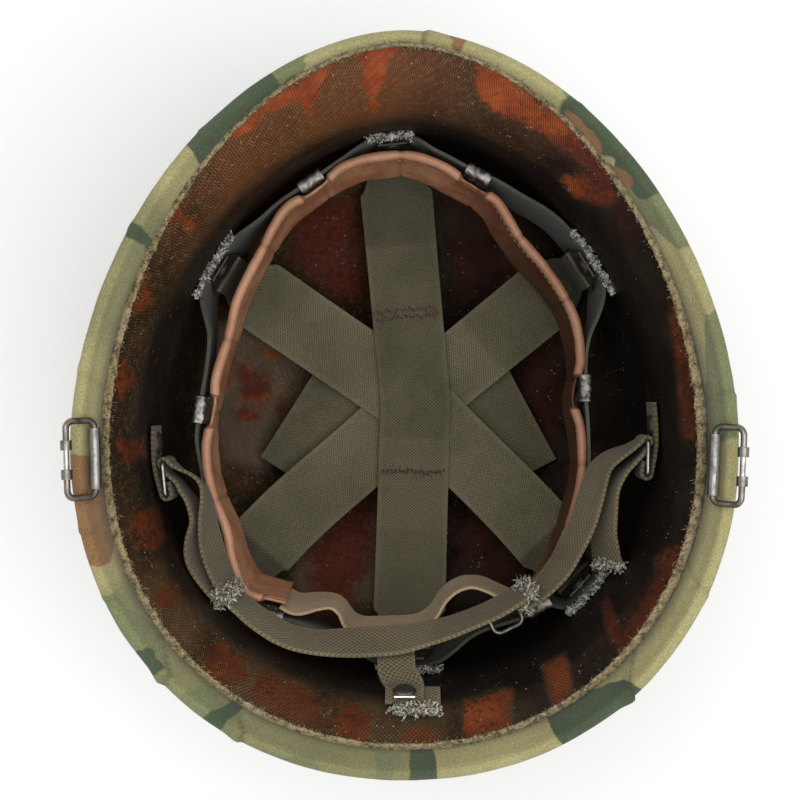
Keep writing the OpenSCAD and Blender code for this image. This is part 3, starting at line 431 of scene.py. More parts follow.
# Materials
class Shader:
    """A Principled material and short ways to its nodes."""

    def __init__(self, name, roughness=0.8, metallic=0.0, sheen=0.0, specular=0.4):
        self.mat = bpy.data.materials.new(name)
        self.mat.use_nodes = True
        self.tree = self.mat.node_tree
        self.out = self.tree.nodes["Principled BSDF"]
        for key, value in (("Roughness", roughness), ("Metallic", metallic),
                           ("Sheen Weight", sheen), ("Specular IOR Level", specular)):
            self.out.inputs[key].default_value = value
        self.coords = self.tree.nodes.new("ShaderNodeTexCoord")

    def put(self, node, key, value):
        """Links an output to a node's input, or sets that input to a plain value."""
        if isinstance(value, bpy.types.NodeSocket):
            self.tree.links.new(value, node.inputs[key])
        else:
            node.inputs[key].default_value = value

    def node(self, kind, inputs=None, **props):
        n = self.tree.nodes.new(kind)
        for key, value in props.items():
            setattr(n, key, value)
        for key, value in (inputs or {}).items():
            self.put(n, key, value)
        return n

    def math(self, operation, a, b=0.0, clamp=False):
        n = self.node("ShaderNodeMath", {0: a, 1: b}, operation=operation, use_clamp=clamp)
        return n.outputs[0]

    def times(self, a, b, clamp=False):
        return self.math("MULTIPLY", a, b, clamp)

    def plus(self, a, b, clamp=False):
        return self.math("ADD", a, b, clamp)

    def minus(self, a, b):
        return self.math("SUBTRACT", a, b)

    def swing(self, value, size):
        """Turns a noise of 0 to 1 into one that swings about 0."""
        return self.times(self.minus(value, 0.5), size)

    def noise(self, scale, detail=3.0, rough=0.55, distortion=0.0, lift=0.0):
        v = self.coords.outputs["Object"]
        if lift:
            v = self.node("ShaderNodeVectorMath", {0: v, 1: (lift, lift, lift)},
                          operation="ADD").outputs[0]
        n = self.node("ShaderNodeTexNoise", {"Vector": v, "Scale": scale, "Detail": detail,
                                             "Roughness": rough, "Distortion": distortion})
        return n.outputs["Fac"]

    def cells(self, scale):
        """Distance to the nearest of many scattered points."""
        n = self.node("ShaderNodeTexVoronoi", {"Vector": self.coords.outputs["Object"],
                                               "Scale": scale})
        return n.outputs["Distance"]

    def ramp(self, value, low, high):
        """0 at low and 1 at high, clamped. Low may be the greater one."""
        n = self.node("ShaderNodeMapRange", {"Value": value, "From Min": low, "From Max": high})
        return n.outputs[0]

    def mix(self, factor, a, b, blend="MIX"):
        n = self.node("ShaderNodeMix", data_type="RGBA", blend_type=blend)
        self.put(n, 0, factor)
        for key, value in ((6, a), (7, b)):
            self.put(n, key, tuple(value) + (1.0,) if isinstance(value, (tuple, list)) else value)
        return n.outputs[2]

    def stain(self, factor, color, tint):
        """Multiplies a colour by a tint, as far as factor says."""
        return self.mix(factor, color, self.mix(1.0, color, tint, "MULTIPLY"))

    def value(self, name):
        """One of the piece's own fields, kept as an attribute."""
        return self.node("ShaderNodeAttribute", attribute_name=name).outputs["Fac"]

    def uv(self):
        n = self.node("ShaderNodeSeparateXYZ", {0: self.coords.outputs["UV"]})
        return n.outputs[0], n.outputs[1]

    def weave(self, pitch_u, pitch_v, turn=0.0):
        """Yarn crossings on the UV map, -1 to 1, and the beat of the yarns along it."""
        u, v = self.uv()
        if turn:
            c, s = math.cos(math.radians(turn)), math.sin(math.radians(turn))
            u, v = (self.plus(self.times(u, c), self.times(v, -s)),
                    self.plus(self.times(u, s), self.times(v, c)))
        a = self.math("SINE", self.times(u, 2 * math.pi / pitch_u))
        b = self.math("SINE", self.times(v, 2 * math.pi / pitch_v))
        return self.times(a, b), a

    def finish(self, color, bump=None, strength=0.4, distance=0.0004, roughness=None):
        self.put(self.out, "Base Color", color if not isinstance(color, tuple) else color + (1,))
        if roughness is not None:
            self.put(self.out, "Roughness", roughness)
        if bump is not None:
            n = self.node("ShaderNodeBump", {"Height": bump, "Strength": strength,
                                             "Distance": distance})
            self.put(self.out, "Normal", n.outputs[0])
        return self.mat


def webbing_material(name, color, pitch=(0.0013, 0.0017), depth=0.62, seed=0.0):
    """Plain-woven webbing: dark gaps between its yarns, a beaded selvedge, wear and painted shade.
    """
    s = Shader(name, roughness=0.93, sheen=0.12, specular=0.12)
    cross, yarns = s.weave(*pitch)
    grain = s.noise(900, 2, lift=seed)
    fade = s.noise(30, 4, 0.6, lift=seed + 3)
    dark = tuple(c * (1 - depth) for c in color)
    light = tuple(min(1, c * 1.25) for c in color)
    selvedge = s.ramp(s.value("edge"), 0.84, 0.93)
    gaps = s.times(s.ramp(cross, 0.1, -0.85), s.minus(1.0, s.times(selvedge, 0.55)))
    base = s.mix(gaps, light, dark)
    base = s.stain(s.times(s.ramp(grain, 0.4, 0.7), 0.4), base, (1.5, 1.5, 1.45))
    base = s.stain(s.ramp(fade, 0.42, 0.66), base, (0.74, 0.74, 0.72))
    # Painted shade along the strap, as far as its shade field says
    base = s.stain(s.value("painted_shade"), base, (0.36, 0.35, 0.36))
    bead = s.times(s.times(selvedge, s.ramp(yarns, -0.4, 0.5)), 0.15)
    base = s.stain(bead, base, (1.6, 1.6, 1.6))
    height = s.plus(s.times(cross, 0.5), s.times(grain, 0.5))
    return s.finish(base, height, 0.75, 0.0005)


def cloth_material(settings):
    """Printed cotton duck. The fields dark, mid and brown hold how far inside a blotch a point
    is, in millimetres; a fine noise makes the printed edge."""
    s = Shader("cover_cloth_print", roughness=0.9, sheen=0.2, specular=0.15)
    wobble = s.swing(s.noise(110, 2), 3.2)
    yarn = s.noise(1500, 2, 0.6)
    # The ground is darker and greener in two stretches near the rim
    color = s.stain(s.value("darker_green"), tuple(settings.cover_light), (0.66, 0.71, 0.7))
    for key, tint in (("mid", settings.cover_mid), ("dark", settings.cover_dark),
                      ("brown", settings.cover_brown)):
        inside = s.ramp(s.plus(s.value(key), wobble), -0.35, 0.35)
        color = s.mix(inside, color, tuple(tint))
    color = s.stain(s.ramp(yarn, 0.38, 0.68), color, (1.5, 1.5, 1.5))
    color = s.stain(s.ramp(s.noise(35, 5, 0.65), 0.35, 0.7), color, (0.78, 0.78, 0.76))
    # Painted shade: darker in the tuck behind the bead, on the folds and in a line beside each fold
    color = s.mix(s.times(s.value("tuck_and_fold_shade"), 0.75), color, (0.035, 0.034, 0.02))
    cross = s.weave(0.0011, 0.0011)[0]
    return s.finish(color, s.plus(s.times(cross, 0.25), yarn), 0.55, 0.0004)


def duck_material(settings):
    """Resin-filled duck of the liner, with worn paint. Fields: red and deep, how far inside a
    patch of paint a point is, in mm; fresh, warm, grey, black, net and outside, 0 to 1."""
    s = Shader("liner_resin_duck", roughness=0.5, specular=0.16)
    cross = s.weave(0.0013, 0.0013)[0]
    diamond = s.weave(0.0023, 0.0023, turn=45)[0]
    u, v = s.uv()
    slant = s.plus(u, s.times(v, 0.36))
    twill = s.math("SINE", s.times(slant, 2 * math.pi / 0.00105))
    rib = s.plus(s.times(twill, 0.7), s.times(cross, 0.45))
    patch, fine = s.noise(70, 5, 0.65, 0.6), s.noise(420, 4, 0.7)
    cloth = s.plus(s.value("warm"), s.swing(patch, 1.7), clamp=True)
    color = s.mix(cloth, tuple(settings.duck_olive), tuple(settings.duck_brown))
    color = s.mix(s.value("grey"), color, (0.115, 0.08, 0.052))
    color = s.stain(s.ramp(rib, 0.1, -0.9), color, (0.4, 0.36, 0.33))
    speck = s.times(s.ramp(cross, 0.1, 0.6), s.ramp(fine, 0.52, 0.6))
    color = s.mix(s.times(speck, 0.65), color, (0.25, 0.18, 0.085))
    net = s.times(s.value("net"), s.ramp(s.math("ABSOLUTE", diamond), 0.3, 0.1))
    color = s.mix(s.times(s.value("net"), 0.35), color, (0.2, 0.12, 0.05))
    # Worn paint, bright in front and dull elsewhere
    red = s.mix(s.ramp(s.noise(90, 4, 0.6, lift=2.0), 0.35, 0.65), tuple(settings.paint_red),
                tuple(settings.paint_orange))
    dull = s.minus(1.0, s.value("fresh"))
    red = s.stain(dull, red, (0.42, 0.42, 0.44))
    red = s.stain(s.ramp(rib, 0.0, -1.0), red, (0.62, 0.5, 0.45))
    ragged = s.swing(s.noise(150, 6, 0.75), 15.0)
    thin = s.plus(s.times(dull, 0.12), 0.3)
    grain = s.plus(fine, s.times(cross, 0.08))
    worn = s.times(s.ramp(s.plus(s.value("red"), ragged), -0.8, 0.8),
                   s.times(s.minus(grain, thin), 9.0, clamp=True))
    color = s.mix(s.times(worn, 0.93), color, red)
    smear = s.swing(s.noise(120, 6, 0.75, 0.8), 24.0)
    deep = s.times(s.ramp(s.plus(s.value("deep"), smear), -3.0, 4.0), 0.9)
    maroon = s.mix(s.ramp(fine, 0.35, 0.65), (0.05, 0.011, 0.007), (0.115, 0.023, 0.012))
    color = s.mix(deep, color, maroon)
    color = s.mix(s.times(net, 0.8), color, (0.008, 0.006, 0.004))
    # Near-black darkening where the field black says, smoke and dust
    near_black = s.plus(s.value("black"), s.swing(s.noise(60, 4), 0.6), clamp=True)
    smoke = s.times(s.ramp(s.noise(45, 4, lift=7.0), 0.4, 0.7), s.minus(1.1, s.value("black")))
    color = s.mix(near_black, color, s.mix(smoke, (0.0065, 0.0044, 0.0032), (0.055, 0.047, 0.038)))
    dots = s.times(s.ramp(s.cells(420.0), 0.2, 0.1), s.ramp(s.noise(130, 2, lift=5.0), 0.56, 0.64))
    color = s.mix(s.times(dots, 0.7), color, (0.36, 0.34, 0.28))
    drab = s.mix(s.ramp(patch, 0.35, 0.65), (0.036, 0.04, 0.02), (0.055, 0.058, 0.03))
    color = s.mix(s.value("outside"), color, drab)
    height = s.plus(s.times(rib, 0.4), s.times(fine, 0.6))
    rough = s.plus(s.times(s.ramp(fine, 0.2, 0.8), 0.3), 0.38)
    return s.finish(color, height, 0.65, 0.0005, rough)


def fibre_material(name, color):
    """Thread or yarn of one colour, in darker and lighter strands."""
    s = Shader(name, roughness=0.95, sheen=0.3, specular=0.1)
    base = s.mix(s.ramp(s.noise(600, 2), 0.3, 0.7), tuple(c * 0.5 for c in color),
                 tuple(min(1, c * 1.35) for c in color))
    return s.finish(base, s.noise(1800, 2), 0.5)


def yarn_material(name, pale=(0.56, 0.54, 0.48), dark=(0.06, 0.058, 0.046)):
    """Frayed yarn ends: pale tips on dark webbing."""
    s = Shader(name, roughness=0.85, sheen=0.2, specular=0.25)
    base = s.mix(s.ramp(s.noise(620, 3, 0.7), 0.43, 0.57), dark, pale)
    return s.finish(base, s.noise(1500, 3), 0.8, 0.0005)


def felt_material(name, color):
    """Matted cut fibre: tan with dark gaps and pale specks."""
    s = Shader(name, roughness=0.95, sheen=0.2, specular=0.1)
    tuft, fleck, slow = s.noise(330, 4, 0.75), s.noise(1100, 2), s.noise(45, 3, lift=3.0)
    base = s.mix(s.ramp(tuft, 0.4, 0.56), tuple(c * 0.25 for c in color), color)
    base = s.stain(s.ramp(slow, 0.4, 0.65), base, (0.78, 0.8, 0.68))
    base = s.mix(s.times(s.ramp(fleck, 0.55, 0.72), 0.6), base,
                 tuple(min(1, c * 1.9) for c in color))
    return s.finish(base, s.plus(tuft, fleck), 0.9, 0.0008)


def metal_material(name, color, roughness=0.32, rust=0.25, dark=0.35):
    """Bare or plated metal with grime, fine scratches and specks of rust."""
    s = Shader(name, roughness=roughness, metallic=1.0, specular=0.5)
    grime = s.noise(190, 5, 0.7, 0.4)
    stretched = s.node("ShaderNodeMapping", {"Vector": s.coords.outputs["Object"],
                                             "Scale": (60, 900, 900)}).outputs[0]
    scratch = s.node("ShaderNodeTexNoise", {"Vector": stretched, "Scale": 1.6,
                                            "Detail": 4.0}).outputs["Fac"]
    base = s.mix(s.ramp(grime, 0.46, 0.7), color, tuple(c * dark for c in color))
    specks = s.ramp(s.noise(330, 4, 0.7, lift=1.0), 0.6, 0.72)
    base = s.mix(s.times(specks, rust), base, (0.1, 0.05, 0.02))
    rough = s.plus(s.times(s.ramp(grime, 0.35, 0.75), 0.38), roughness - 0.1)
    return s.finish(base, scratch, 0.12, 0.0002, rough)


def paint_material(name, color, chips=(0.16, 0.15, 0.13), roughness=0.62):
    """Dull paint with worn spots."""
    s = Shader(name, roughness=roughness, specular=0.4)
    base = s.mix(s.ramp(s.noise(40, 3), 0.35, 0.65), color, tuple(c * 0.75 for c in color))
    base = s.mix(s.ramp(s.noise(260, 5, 0.7), 0.63, 0.69), base, chips)
    return s.finish(base, s.noise(800, 3), 0.35, 0.0003)


def leather_material(settings):
    """Tan leather. Fields, 0 to 1: lip, the rolled edge; crease, painted shade; grime, dirt and
    painted shade; cut, the raw foot.
    """
    s = Shader("sweatband_leather_tan", roughness=0.46, specular=0.45)
    streak = s.noise(240, 4, 0.6)
    tan, pale = tuple(settings.leather_tan), tuple(settings.leather_pale)
    base = s.mix(s.ramp(s.noise(55, 5, 0.65, 0.5), 0.4, 0.6), tan, pale)
    base = s.mix(s.times(s.ramp(streak, 0.5, 0.7), 0.4), base, tuple(c * 0.45 for c in tan))
    # The rolled lip is paler: partly rubbed leather, partly a painted highlight on the roll
    base = s.mix(s.times(s.value("lip"), 0.55), base, pale)
    # Painted shade in the creases and round the lip's openings at the clips, and a dark line under
    # the rolled lip, partly the seam and partly painted shade
    base = s.mix(s.times(s.value("crease"), 0.7), base, (0.09, 0.035, 0.02))
    face = s.minus(1.0, s.times(s.value("lip"), 0.62))
    # Dirt and painted shade on the wearer's left, less on the lip
    base = s.stain(s.times(s.value("grime"), face), base, (0.16, 0.085, 0.06))
    # The raw foot is darker there too: dirt and painted shade
    raw = s.mix(s.value("grime"), (0.5, 0.33, 0.2), (0.2, 0.08, 0.05))
    base = s.mix(s.times(s.ramp(s.value("cut"), 0.55, 0.95), 0.6), base, raw)
    height = s.plus(s.times(s.cells(900.0), 0.5), s.times(streak, 0.8))
    return s.finish(base, height, 0.5, 0.0004)


# Sizes and colours a user sets
def color_of(name, text, value):
    return FloatVectorProperty(name=name, description=text, default=value, size=3,
                               subtype="COLOR", min=0.0, max=1.0)


class HelmetSettings(bpy.types.PropertyGroup):
    cover_light: color_of("Cover light", "Ground colour of the print", (0.285, 0.258, 0.123))
    cover_mid: color_of("Cover mid", "Mid green of the print", (0.15, 0.162, 0.08))
    cover_dark: color_of("Cover dark", "Dark green of the print", (0.055, 0.075, 0.043))
    cover_brown: color_of("Cover brown", "Brown of the print", (0.2, 0.112, 0.05))
    duck_brown: color_of("Duck brown", "Liner cloth in front", (0.145, 0.056, 0.022))
    duck_olive: color_of("Duck olive", "Liner cloth elsewhere", (0.029, 0.0175, 0.008))
    paint_red: color_of("Paint red", "Worn paint in the liner", (0.2, 0.032, 0.012))
    paint_orange: color_of("Paint orange", "Worn paint, lighter", (0.36, 0.085, 0.022))
    edge_cream: color_of("Edge fibres", "Cut edge of the liner", (0.31, 0.24, 0.132))
    web_light: color_of("Crown webbing", "Crown straps", (0.116, 0.104, 0.063))
    web_dark: color_of("Band webbing", "Headband", (0.06, 0.058, 0.046))
    web_nape: color_of("Nape webbing", "Nape strap", (0.147, 0.12, 0.07))
    leather_tan: color_of("Leather", "Sweatband leather", (0.31, 0.12, 0.058))
    leather_pale: color_of("Leather, rubbed", "Rubbed leather", (0.44, 0.225, 0.13))
    cotton: color_of("Cotton", "Cotton piece of the sweatband", (0.36, 0.26, 0.155))
    camera_height: FloatProperty(name="Camera height", description="Above the ground",
                                 default=0.765, min=0.4, max=3, unit="LENGTH")
    camera_lens: FloatProperty(name="Lens", description="Focal length on a 36 mm sensor, in mm",
                               default=72.0, min=20, max=200)
    around: IntProperty(name="Divisions", description="Divisions round the bowls",
                        default=600, min=96, max=640)


def settings_of(context):
    return context.scene.helmet


# The cloth cover
# Distances off the steel's outer face, over the edge strip and in the tuck behind it, and how
# deep the tuck goes
OVER_BEAD = 1.0 + CLOTH_GAP
TUCK_OFF = -STEEL_T - OVER_BEAD
TUCK_DEPTH = 30.0
# Mean radii that turn an angle into mm round a bowl: print, folds, and UV maps of cloth and duck
PRINT_R, FOLD_R, CLOTH_UV_R, DUCK_UV_R = 130, 128, 125, 118
# Depth of the pole below the rim, and over how many mm before it the bowl narrows
POLE_DEPTH, NARROWING = 185, 110
# Added to the depth so that a UV map has no negative lengths
UV_SHIFT = 200
# Sewn folds of the cloth at the rim: (angle, slant in degrees per mm, height, width in mm)
FOLDS = [(-95, 0.0, 1.1, 3.0), (-49.5, 0.25, 0.5, 1.4), (-32.5, 0.3, 0.5, 1.2),
         (-11.5, -0.1, 0.4, 1.2), (-172, 0.1, 0.5, 1.3), (43.5, 0.6, 1.5, 2.2),
         (60.5, 0.5, 1.2, 2.0), (132.5, -0.5, 1.7, 2.0), (14, 0.2, 0.5, 1.2),
         (26, 0.2, 0.4, 1.4), (-124, 0.2, 0.4, 1.3), (155, -0.2, 0.5, 1.5)]
# Blotches: (angle, depth below the rim, negative inside; half width, half height in mm, turn)
DARK = [(-54, 2, 20, 15, 25), (-67.5, -6, 6, 3.5, 0), (-130, 6, 25, 12, -12),
        (-137.5, 2, 8, 10, 0), (-150, 34, 14, 18, 10), (124.5, 3, 19.5, 20, 8),
        (38.5, 5, 5, 9, 30), (54, 4, 4.5, 16, 35), (92.6, -3, 5, 15, 0), (-32.5, 0, 2.2, 20, 0),
        (-60, 60, 22, 14, 30), (10, 70, 26, 18, 40), (75, 62, 30, 16, -25),
        (140, 78, 24, 16, 20), (-160, 66, 26, 18, -30),
        (-105, 64, 24, 15, 15), (30, 120, 26, 18, 60), (-40, 125, 25, 16, -20),
        (120, 128, 28, 18, 40), (-130, 122, 24, 17, 0), (178, 118, 20, 14, 30),
        (50, 84, 19, 11, -30), (95, 92, 20, 12, 20), (-18, 84, 19, 12, 10), (-84, 98, 18, 12, -30),
        (112, 40, 15, 9, 0), (1, 38, 15, 9, 20), (-112, 38, 16, 9, -10), (60, 40, 13, 9, 30)]
MID = [(-66, 3, 11, 12, 10), (-121, 10, 12, 10, 0), (-143, 2, 14, 12, 0), (-171, 3, 22, 16, 5),
       (33, 4, 16, 13, 0), (54, 6, 20, 12, 0), (70, 9, 14, 12, 10), (87, -4, 5, 5, 0),
       (-36, 70, 30, 18, -30), (100, 90, 34, 20, 15), (50, 100, 26, 16, -40),
       (-80, 100, 32, 18, 25), (-150, 100, 30, 18, -15), (0, 150, 50, 30, 0),
       (165, 96, 28, 20, 30), (70, 150, 22, 16, 0), (-110, 150, 24, 14, 40),
       (22, 92, 24, 15, 30), (128, 58, 25, 14, -20), (-22, 50, 21, 12, 20), (-92, 44, 24, 12, -15),
       (-126, 66, 22, 14, 30), (152, 46, 22, 13, 10), (84, 46, 24, 12, -10), (44, 56, 20, 12, 15),
       (-176, 72, 20, 13, 20), (-56, 92, 22, 13, 0)]
BROWN = [(12, -2, 16, 15, 10), (4.5, 0, 9, 8, 10), (-101, 2, 3.5, 5, 20), (-111.5, 5, 3.2, 4, 10),
         (-127.5, -8, 9, 7, 20), (-135.5, -8, 7, 5, -30), (20, 55, 30, 12, -35),
         (-75, 50, 26, 10, 20), (110, 52, 28, 11, 30), (175, 48, 26, 11, -20),
         (-140, 88, 26, 12, 45), (60, 122, 26, 13, 20), (-20, 100, 24, 12, 50),
         (140, 110, 22, 12, -50)]
# The felled seam: its width, and where its two rows of stitches lie
SEAM_W, SEAM_ROWS = 10.0, (-3.6, 3.6)


def blotch_field(spots, t, depth):
    """How far inside the nearest blotch each point is, in mm."""
    best = np.full(len(t), -50.0)
    rise = np.clip((POLE_DEPTH - depth) / NARROWING * 90, 4, 90)
    reach = np.clip(np.sin(np.radians(rise)), 0.06, 1)
    for angle, down, wide, high, turn in spots:
        x, y = np.radians(wrapped(t - angle)) * PRINT_R * reach, depth - down
        c, s = math.cos(math.radians(turn)), math.sin(math.radians(turn))
        a, b = (x * c + y * s) / wide, (-x * s + y * c) / high
        r = np.sqrt(a * a + b * b) + 0.22 * np.sin(3 * np.arctan2(b, a) + angle)
        best = np.maximum(best, (1 - r) * min(wide, high))
    return best


def print_fields(t, depth):
    """The print's attributes: how far inside its blotches of each colour points are."""
    return {key: blotch_field(spots, t, depth)
            for key, spots in (("dark", DARK), ("mid", MID), ("brown", BROWN))}


def darker_green_ground(t, depth):
    """Where the print's ground is darker and a greyer green: two stretches near the rim."""
    stretch = np.maximum(smooth(t, -41, -36) * smooth(t, -12, -20),
                         smooth(t, 22, 28) * smooth(t, 94, 91))
    return stretch * smooth(depth, 17, 9)


def cover_rows():
    """Rows of the cover from the crown over the bead into the tuck: (kind, value, off)."""
    rows = [("pole", f, CLOTH_GAP) for f in (0.02, 0.35, 0.7)]
    rows += [("height", z, CLOTH_GAP) for z in SHELL.dome_heights(20)]
    rows += [("share", f, CLOTH_GAP) for f in np.linspace(0.06, 1.0, 20) ** 0.9]
    rows += [("below", d, off) for d, off in ((7, 0.25), (5.8, 0.55), (5, 0.95), (4.4, OVER_BEAD),
                                            (2.6, OVER_BEAD + 0.1), (1.2, OVER_BEAD + 0.1))]
    rows += [("over", up, off) for up, off in ((0.1, OVER_BEAD), (0.75, OVER_BEAD - 0.35),
                                             (1.15, 0.3), (1.25, -0.55), (1.15, -1.4),
                                             (0.75, TUCK_OFF + 0.35), (0.1, TUCK_OFF))]
    rows += [("inside", d, TUCK_OFF - 0.1) for d in (1.2, 2.6, 4.4, 6.5, 9, 12, 15, 18, 21, 24,
                                                    27, TUCK_DEPTH)]
    return rows


def gather(q, pole):
    """Draws the rows at the pole together towards the middle of the crown."""
    m = pole < 1
    q[m, 0] *= pole[m]
    q[m, 1] = CROWN_Y + (q[m, 1] - CROWN_Y) * pole[m]


def cover_place(u, v):
    """The cover over the shell, with its soft waves, its folds at the rim and its tuck."""
    rows = cover_rows()
    t = u * 360 - 180
    j = step_of(v, len(rows) - 1)
    rim = SHELL.rim(t)
    z, off, up = np.zeros(len(t)), np.zeros(len(t)), np.zeros(len(t))
    pole = np.ones(len(t))
    extra = 0.9 * np.cos(np.radians(t)) ** 2
    inner = np.zeros(len(t), bool)
    top = SHELL.top
    for k, (kind, value, shift) in enumerate(rows):
        m = j == k
        off[m] = shift
        if kind == "pole":
            pole[m] = value
        elif kind == "height":
            z[m] = value
        elif kind == "share":
            z[m] = (top + (rim - 9 - top) * value)[m]
        elif kind == "over":
            z[m], up[m] = rim[m], value
            inner[m] = shift < -0.6
        else:
            z[m] = (rim - value)[m]
            inner[m] = kind == "inside"
            if kind == "inside" and value > 3:
                off[m] = (shift - extra * min(1, value / 5))[m]
    p, n = SHELL.at(t, z), SHELL.normal(t, z)
    side = unit(np.cross(UP, n))
    climb = unit(np.cross(n, side))
    climb[climb[:, 2] < 0] *= -1
    depth = np.where(inner, -(rim - z) - 1, rim - z)
    near = np.exp(-np.maximum(rim - z, 0) / 26)
    soft = 0.45 * waves(p, 18, 3) + 0.14 * waves(p, 6, 4)
    fold, line = np.zeros(len(t)), np.zeros(len(t))
    for angle, slant, high, wide in FOLDS:
        s = np.radians(wrapped(t - angle - slant * depth)) * FOLD_R
        lip = np.where(s > 0, np.exp(-(s / (wide * 0.35)) ** 2), np.exp(-(s / (wide * 2.2)) ** 2))
        fold = np.maximum(fold, high * lip)
        line = np.maximum(line, np.exp(-((s - 1.4) / 1.1) ** 2) * min(1, high))
    lie = np.where(inner, 0.55, 1.0) * near
    pole_free = np.clip(z / 30, 0, 1)
    d = off + CLOTH_T / 2 + (0.45 + soft) * pole_free * np.where(inner, 0.25, 0.6) + fold * lie
    d = np.where(inner, off - CLOTH_T / 2 - 0.35 * np.abs(soft) - 0.35 * fold * near, d)
    q = p + n * d[:, None] + climb * (up + (fold * 0.15) * (up > 0))[:, None]
    gather(q, pole)
    # Painted shade in the tuck behind the bead, on the folds and in a dark line beside each fold
    tuck_and_fold_shade = np.clip(np.where(inner, smooth(rim - z, 5, 12) * 0.95, 0.0) + 0.15 * fold * near
                   + 0.75 * line * near, 0, 1)
    values = print_fields(t, depth) | {"tuck_and_fold_shade": tuck_and_fold_shade, "darker_green": darker_green_ground(t, depth)}
    return q, (np.radians(t) * CLOTH_UV_R, depth + UV_SHIFT), values


class HELMET_OT_cover(bpy.types.Operator):
    """Cloth cover with its print, rim folds and felled seam"""
    bl_idname = "helmet.cover"
    bl_label = "Cloth cover"

    def execute(self, context):
        settings = settings_of(context)
        cloth = cloth_material(settings)
        ob = sheet_mesh("cloth_cover", settings.around, len(cover_rows()) - 1, cover_place, True)
        thicken(ob, CLOTH_T)
        finished(ob, "shell", cloth, ["helmet_cover"])
        parts, runs = [], []
        for t in (-90.0, 90.0):
            rim = float(SHELL.rim(t))
            z = np.concatenate([np.linspace(4, rim - 8, 60), np.linspace(rim - 7, rim, 10)])
            off = np.where(z > rim - 6.2, OVER_BEAD, CLOTH_GAP) + CLOTH_T + 0.75
            off = np.convolve(np.pad(off, 2, mode="edge"), np.ones(5) / 5, "valid")
            p = SHELL.at(t, z) + SHELL.normal(t, z) * off[:, None]
            n = SHELL.normal(t, z)
            strip = ribbon(f"seam{int(t)}", p, sideways(len(p)), SEAM_W, 0.5, across=8, wave=0.1,
                           seed=5, bevel=0.15)
            depth = rim - (coordinates(strip.data)[:, 2] / MM - SHELL.base)
            for key, value in print_fields(np.full(len(depth), t), depth).items():
                store(strip.data, key, value)
            parts.append(strip)
            runs += [(p[:-2] + n[:-2] * 0.3 + [x, 0, 0], n[:-2]) for x in SEAM_ROWS]
        seam = joined("cover_felled_seam", parts)
        finished(seam, "shell", cloth, ["cover_seam"])
        thread = stitches("cover_seam_stitches", runs, 0.22, 1.7, 0.7)
        finished(thread, "shell", fibre_material("thread_olive", (0.1, 0.1, 0.06)))
        return {"FINISHED"}


class HELMET_OT_shell(bpy.types.Operator):
    """Paint of the steel shell and its edge strip, and the bare metal of lugs and loops"""
    bl_idname = "helmet.shell"
    bl_label = "Shell and loops"

    def execute(self, context):
        dress_nodes(paint_material("shell_olive_paint", (0.055, 0.06, 0.035)),
                    "steel_shell", "rim_bead")
        dress_nodes(metal_material("loop_plated_steel", (0.25, 0.225, 0.195), 0.3, 0.3, 0.3),
                    "chinstrap_loop_right", "chinstrap_loop_left")
        dress_nodes(metal_material("lug_bare_steel", (0.3, 0.29, 0.27), 0.36, 0.35, 0.35),
                    "loop_lug_right", "loop_lug_left")
        dress_nodes(metal_material("pin_polished_steel", (0.5, 0.49, 0.46), 0.18, 0.05, 0.5),
                    "loop_pin_right", "loop_pin_left")
        return {"FINISHED"}


def dress_nodes(material, *names):
    """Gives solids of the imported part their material."""
    for name in names:
        NODES[name].data.materials.clear()
        NODES[name].data.materials.append(material)


# The liner
def liner_rows():
    """Rows of the liner from the crown to the rim: (kind, value)."""
    rows = [("pole", f) for f in (0.02, 0.35, 0.7)]
    rows += [("height", z) for z in LINER.dome_heights(34)]
    rows += [("share", f) for f in np.linspace(0.03, 1, 36)]
    return rows


# Worn paint in the liner, each patch an outline of pixels in the 800 x 800 photograph
RED = [[(282, 86), (300, 62), (318, 54), (338, 50), (330, 74), (320, 96), (311, 116), (296, 100)],
       [(352, 46), (376, 41), (401, 40), (392, 62), (380, 88), (374, 114), (366, 88), (360, 60)],
       [(222, 122), (240, 98), (284, 76), (300, 100), (268, 118), (236, 140)],
       [(168, 205), (175, 208), (198, 226), (190, 229), (174, 220)],
       [(136, 284), (150, 275), (152, 305), (139, 316), (131, 298)],
       [(116, 362), (128, 358), (136, 385), (124, 400), (113, 385)],
       [(119, 441), (140, 438), (143, 458), (122, 460)],
       [(133, 512), (155, 508), (162, 540), (150, 553), (138, 545)],
       [(156, 588), (176, 586), (178, 606), (160, 606)],
       [(204, 655), (222, 640), (244, 662), (248, 678), (225, 684), (208, 672)],
       [(250, 694), (256, 682), (262, 672), (300, 685), (322, 705), (312, 722), (280, 720)],
       [(332, 714), (350, 702), (372, 712), (370, 740), (345, 742)],
       [(400, 726), (420, 722), (440, 730), (436, 746), (404, 746)],
       [(462, 742), (464, 702), (500, 690), (512, 690), (508, 728), (490, 742)],
       [(543, 668), (566, 655), (572, 690), (552, 705)],
       [(604, 606), (610, 600), (622, 640), (617, 650), (608, 628)],
       [(655, 560), (668, 548), (676, 560), (662, 592)],
       [(474, 70), (508, 62), (538, 84), (566, 112), (596, 140), (622, 172), (606, 186), (584, 168),
        (556, 146), (530, 128), (504, 118), (480, 104)],
       [(560, 178), (584, 176), (618, 196), (606, 206), (576, 196)],
       [(662, 250), (680, 262), (688, 290), (674, 285)],
       [(668, 300), (682, 300), (692, 380), (694, 440), (684, 440), (676, 360)],
       [(674, 545), (680, 548), (662, 600), (640, 640), (622, 657), (616, 640), (640, 610),
        (658, 575)],
       [(236, 366), (246, 360), (250, 374), (240, 380)], [(262, 352), (274, 349), (275, 360)],
       [(236, 394), (256, 387), (268, 398), (250, 406)], [(268, 378), (280, 386), (276, 397)],
       [(226, 374), (236, 384), (229, 393)], [(236, 414), (250, 411), (254, 424), (240, 426)],
       [(600, 690), (616, 676), (640, 660), (636, 672), (612, 694)]]
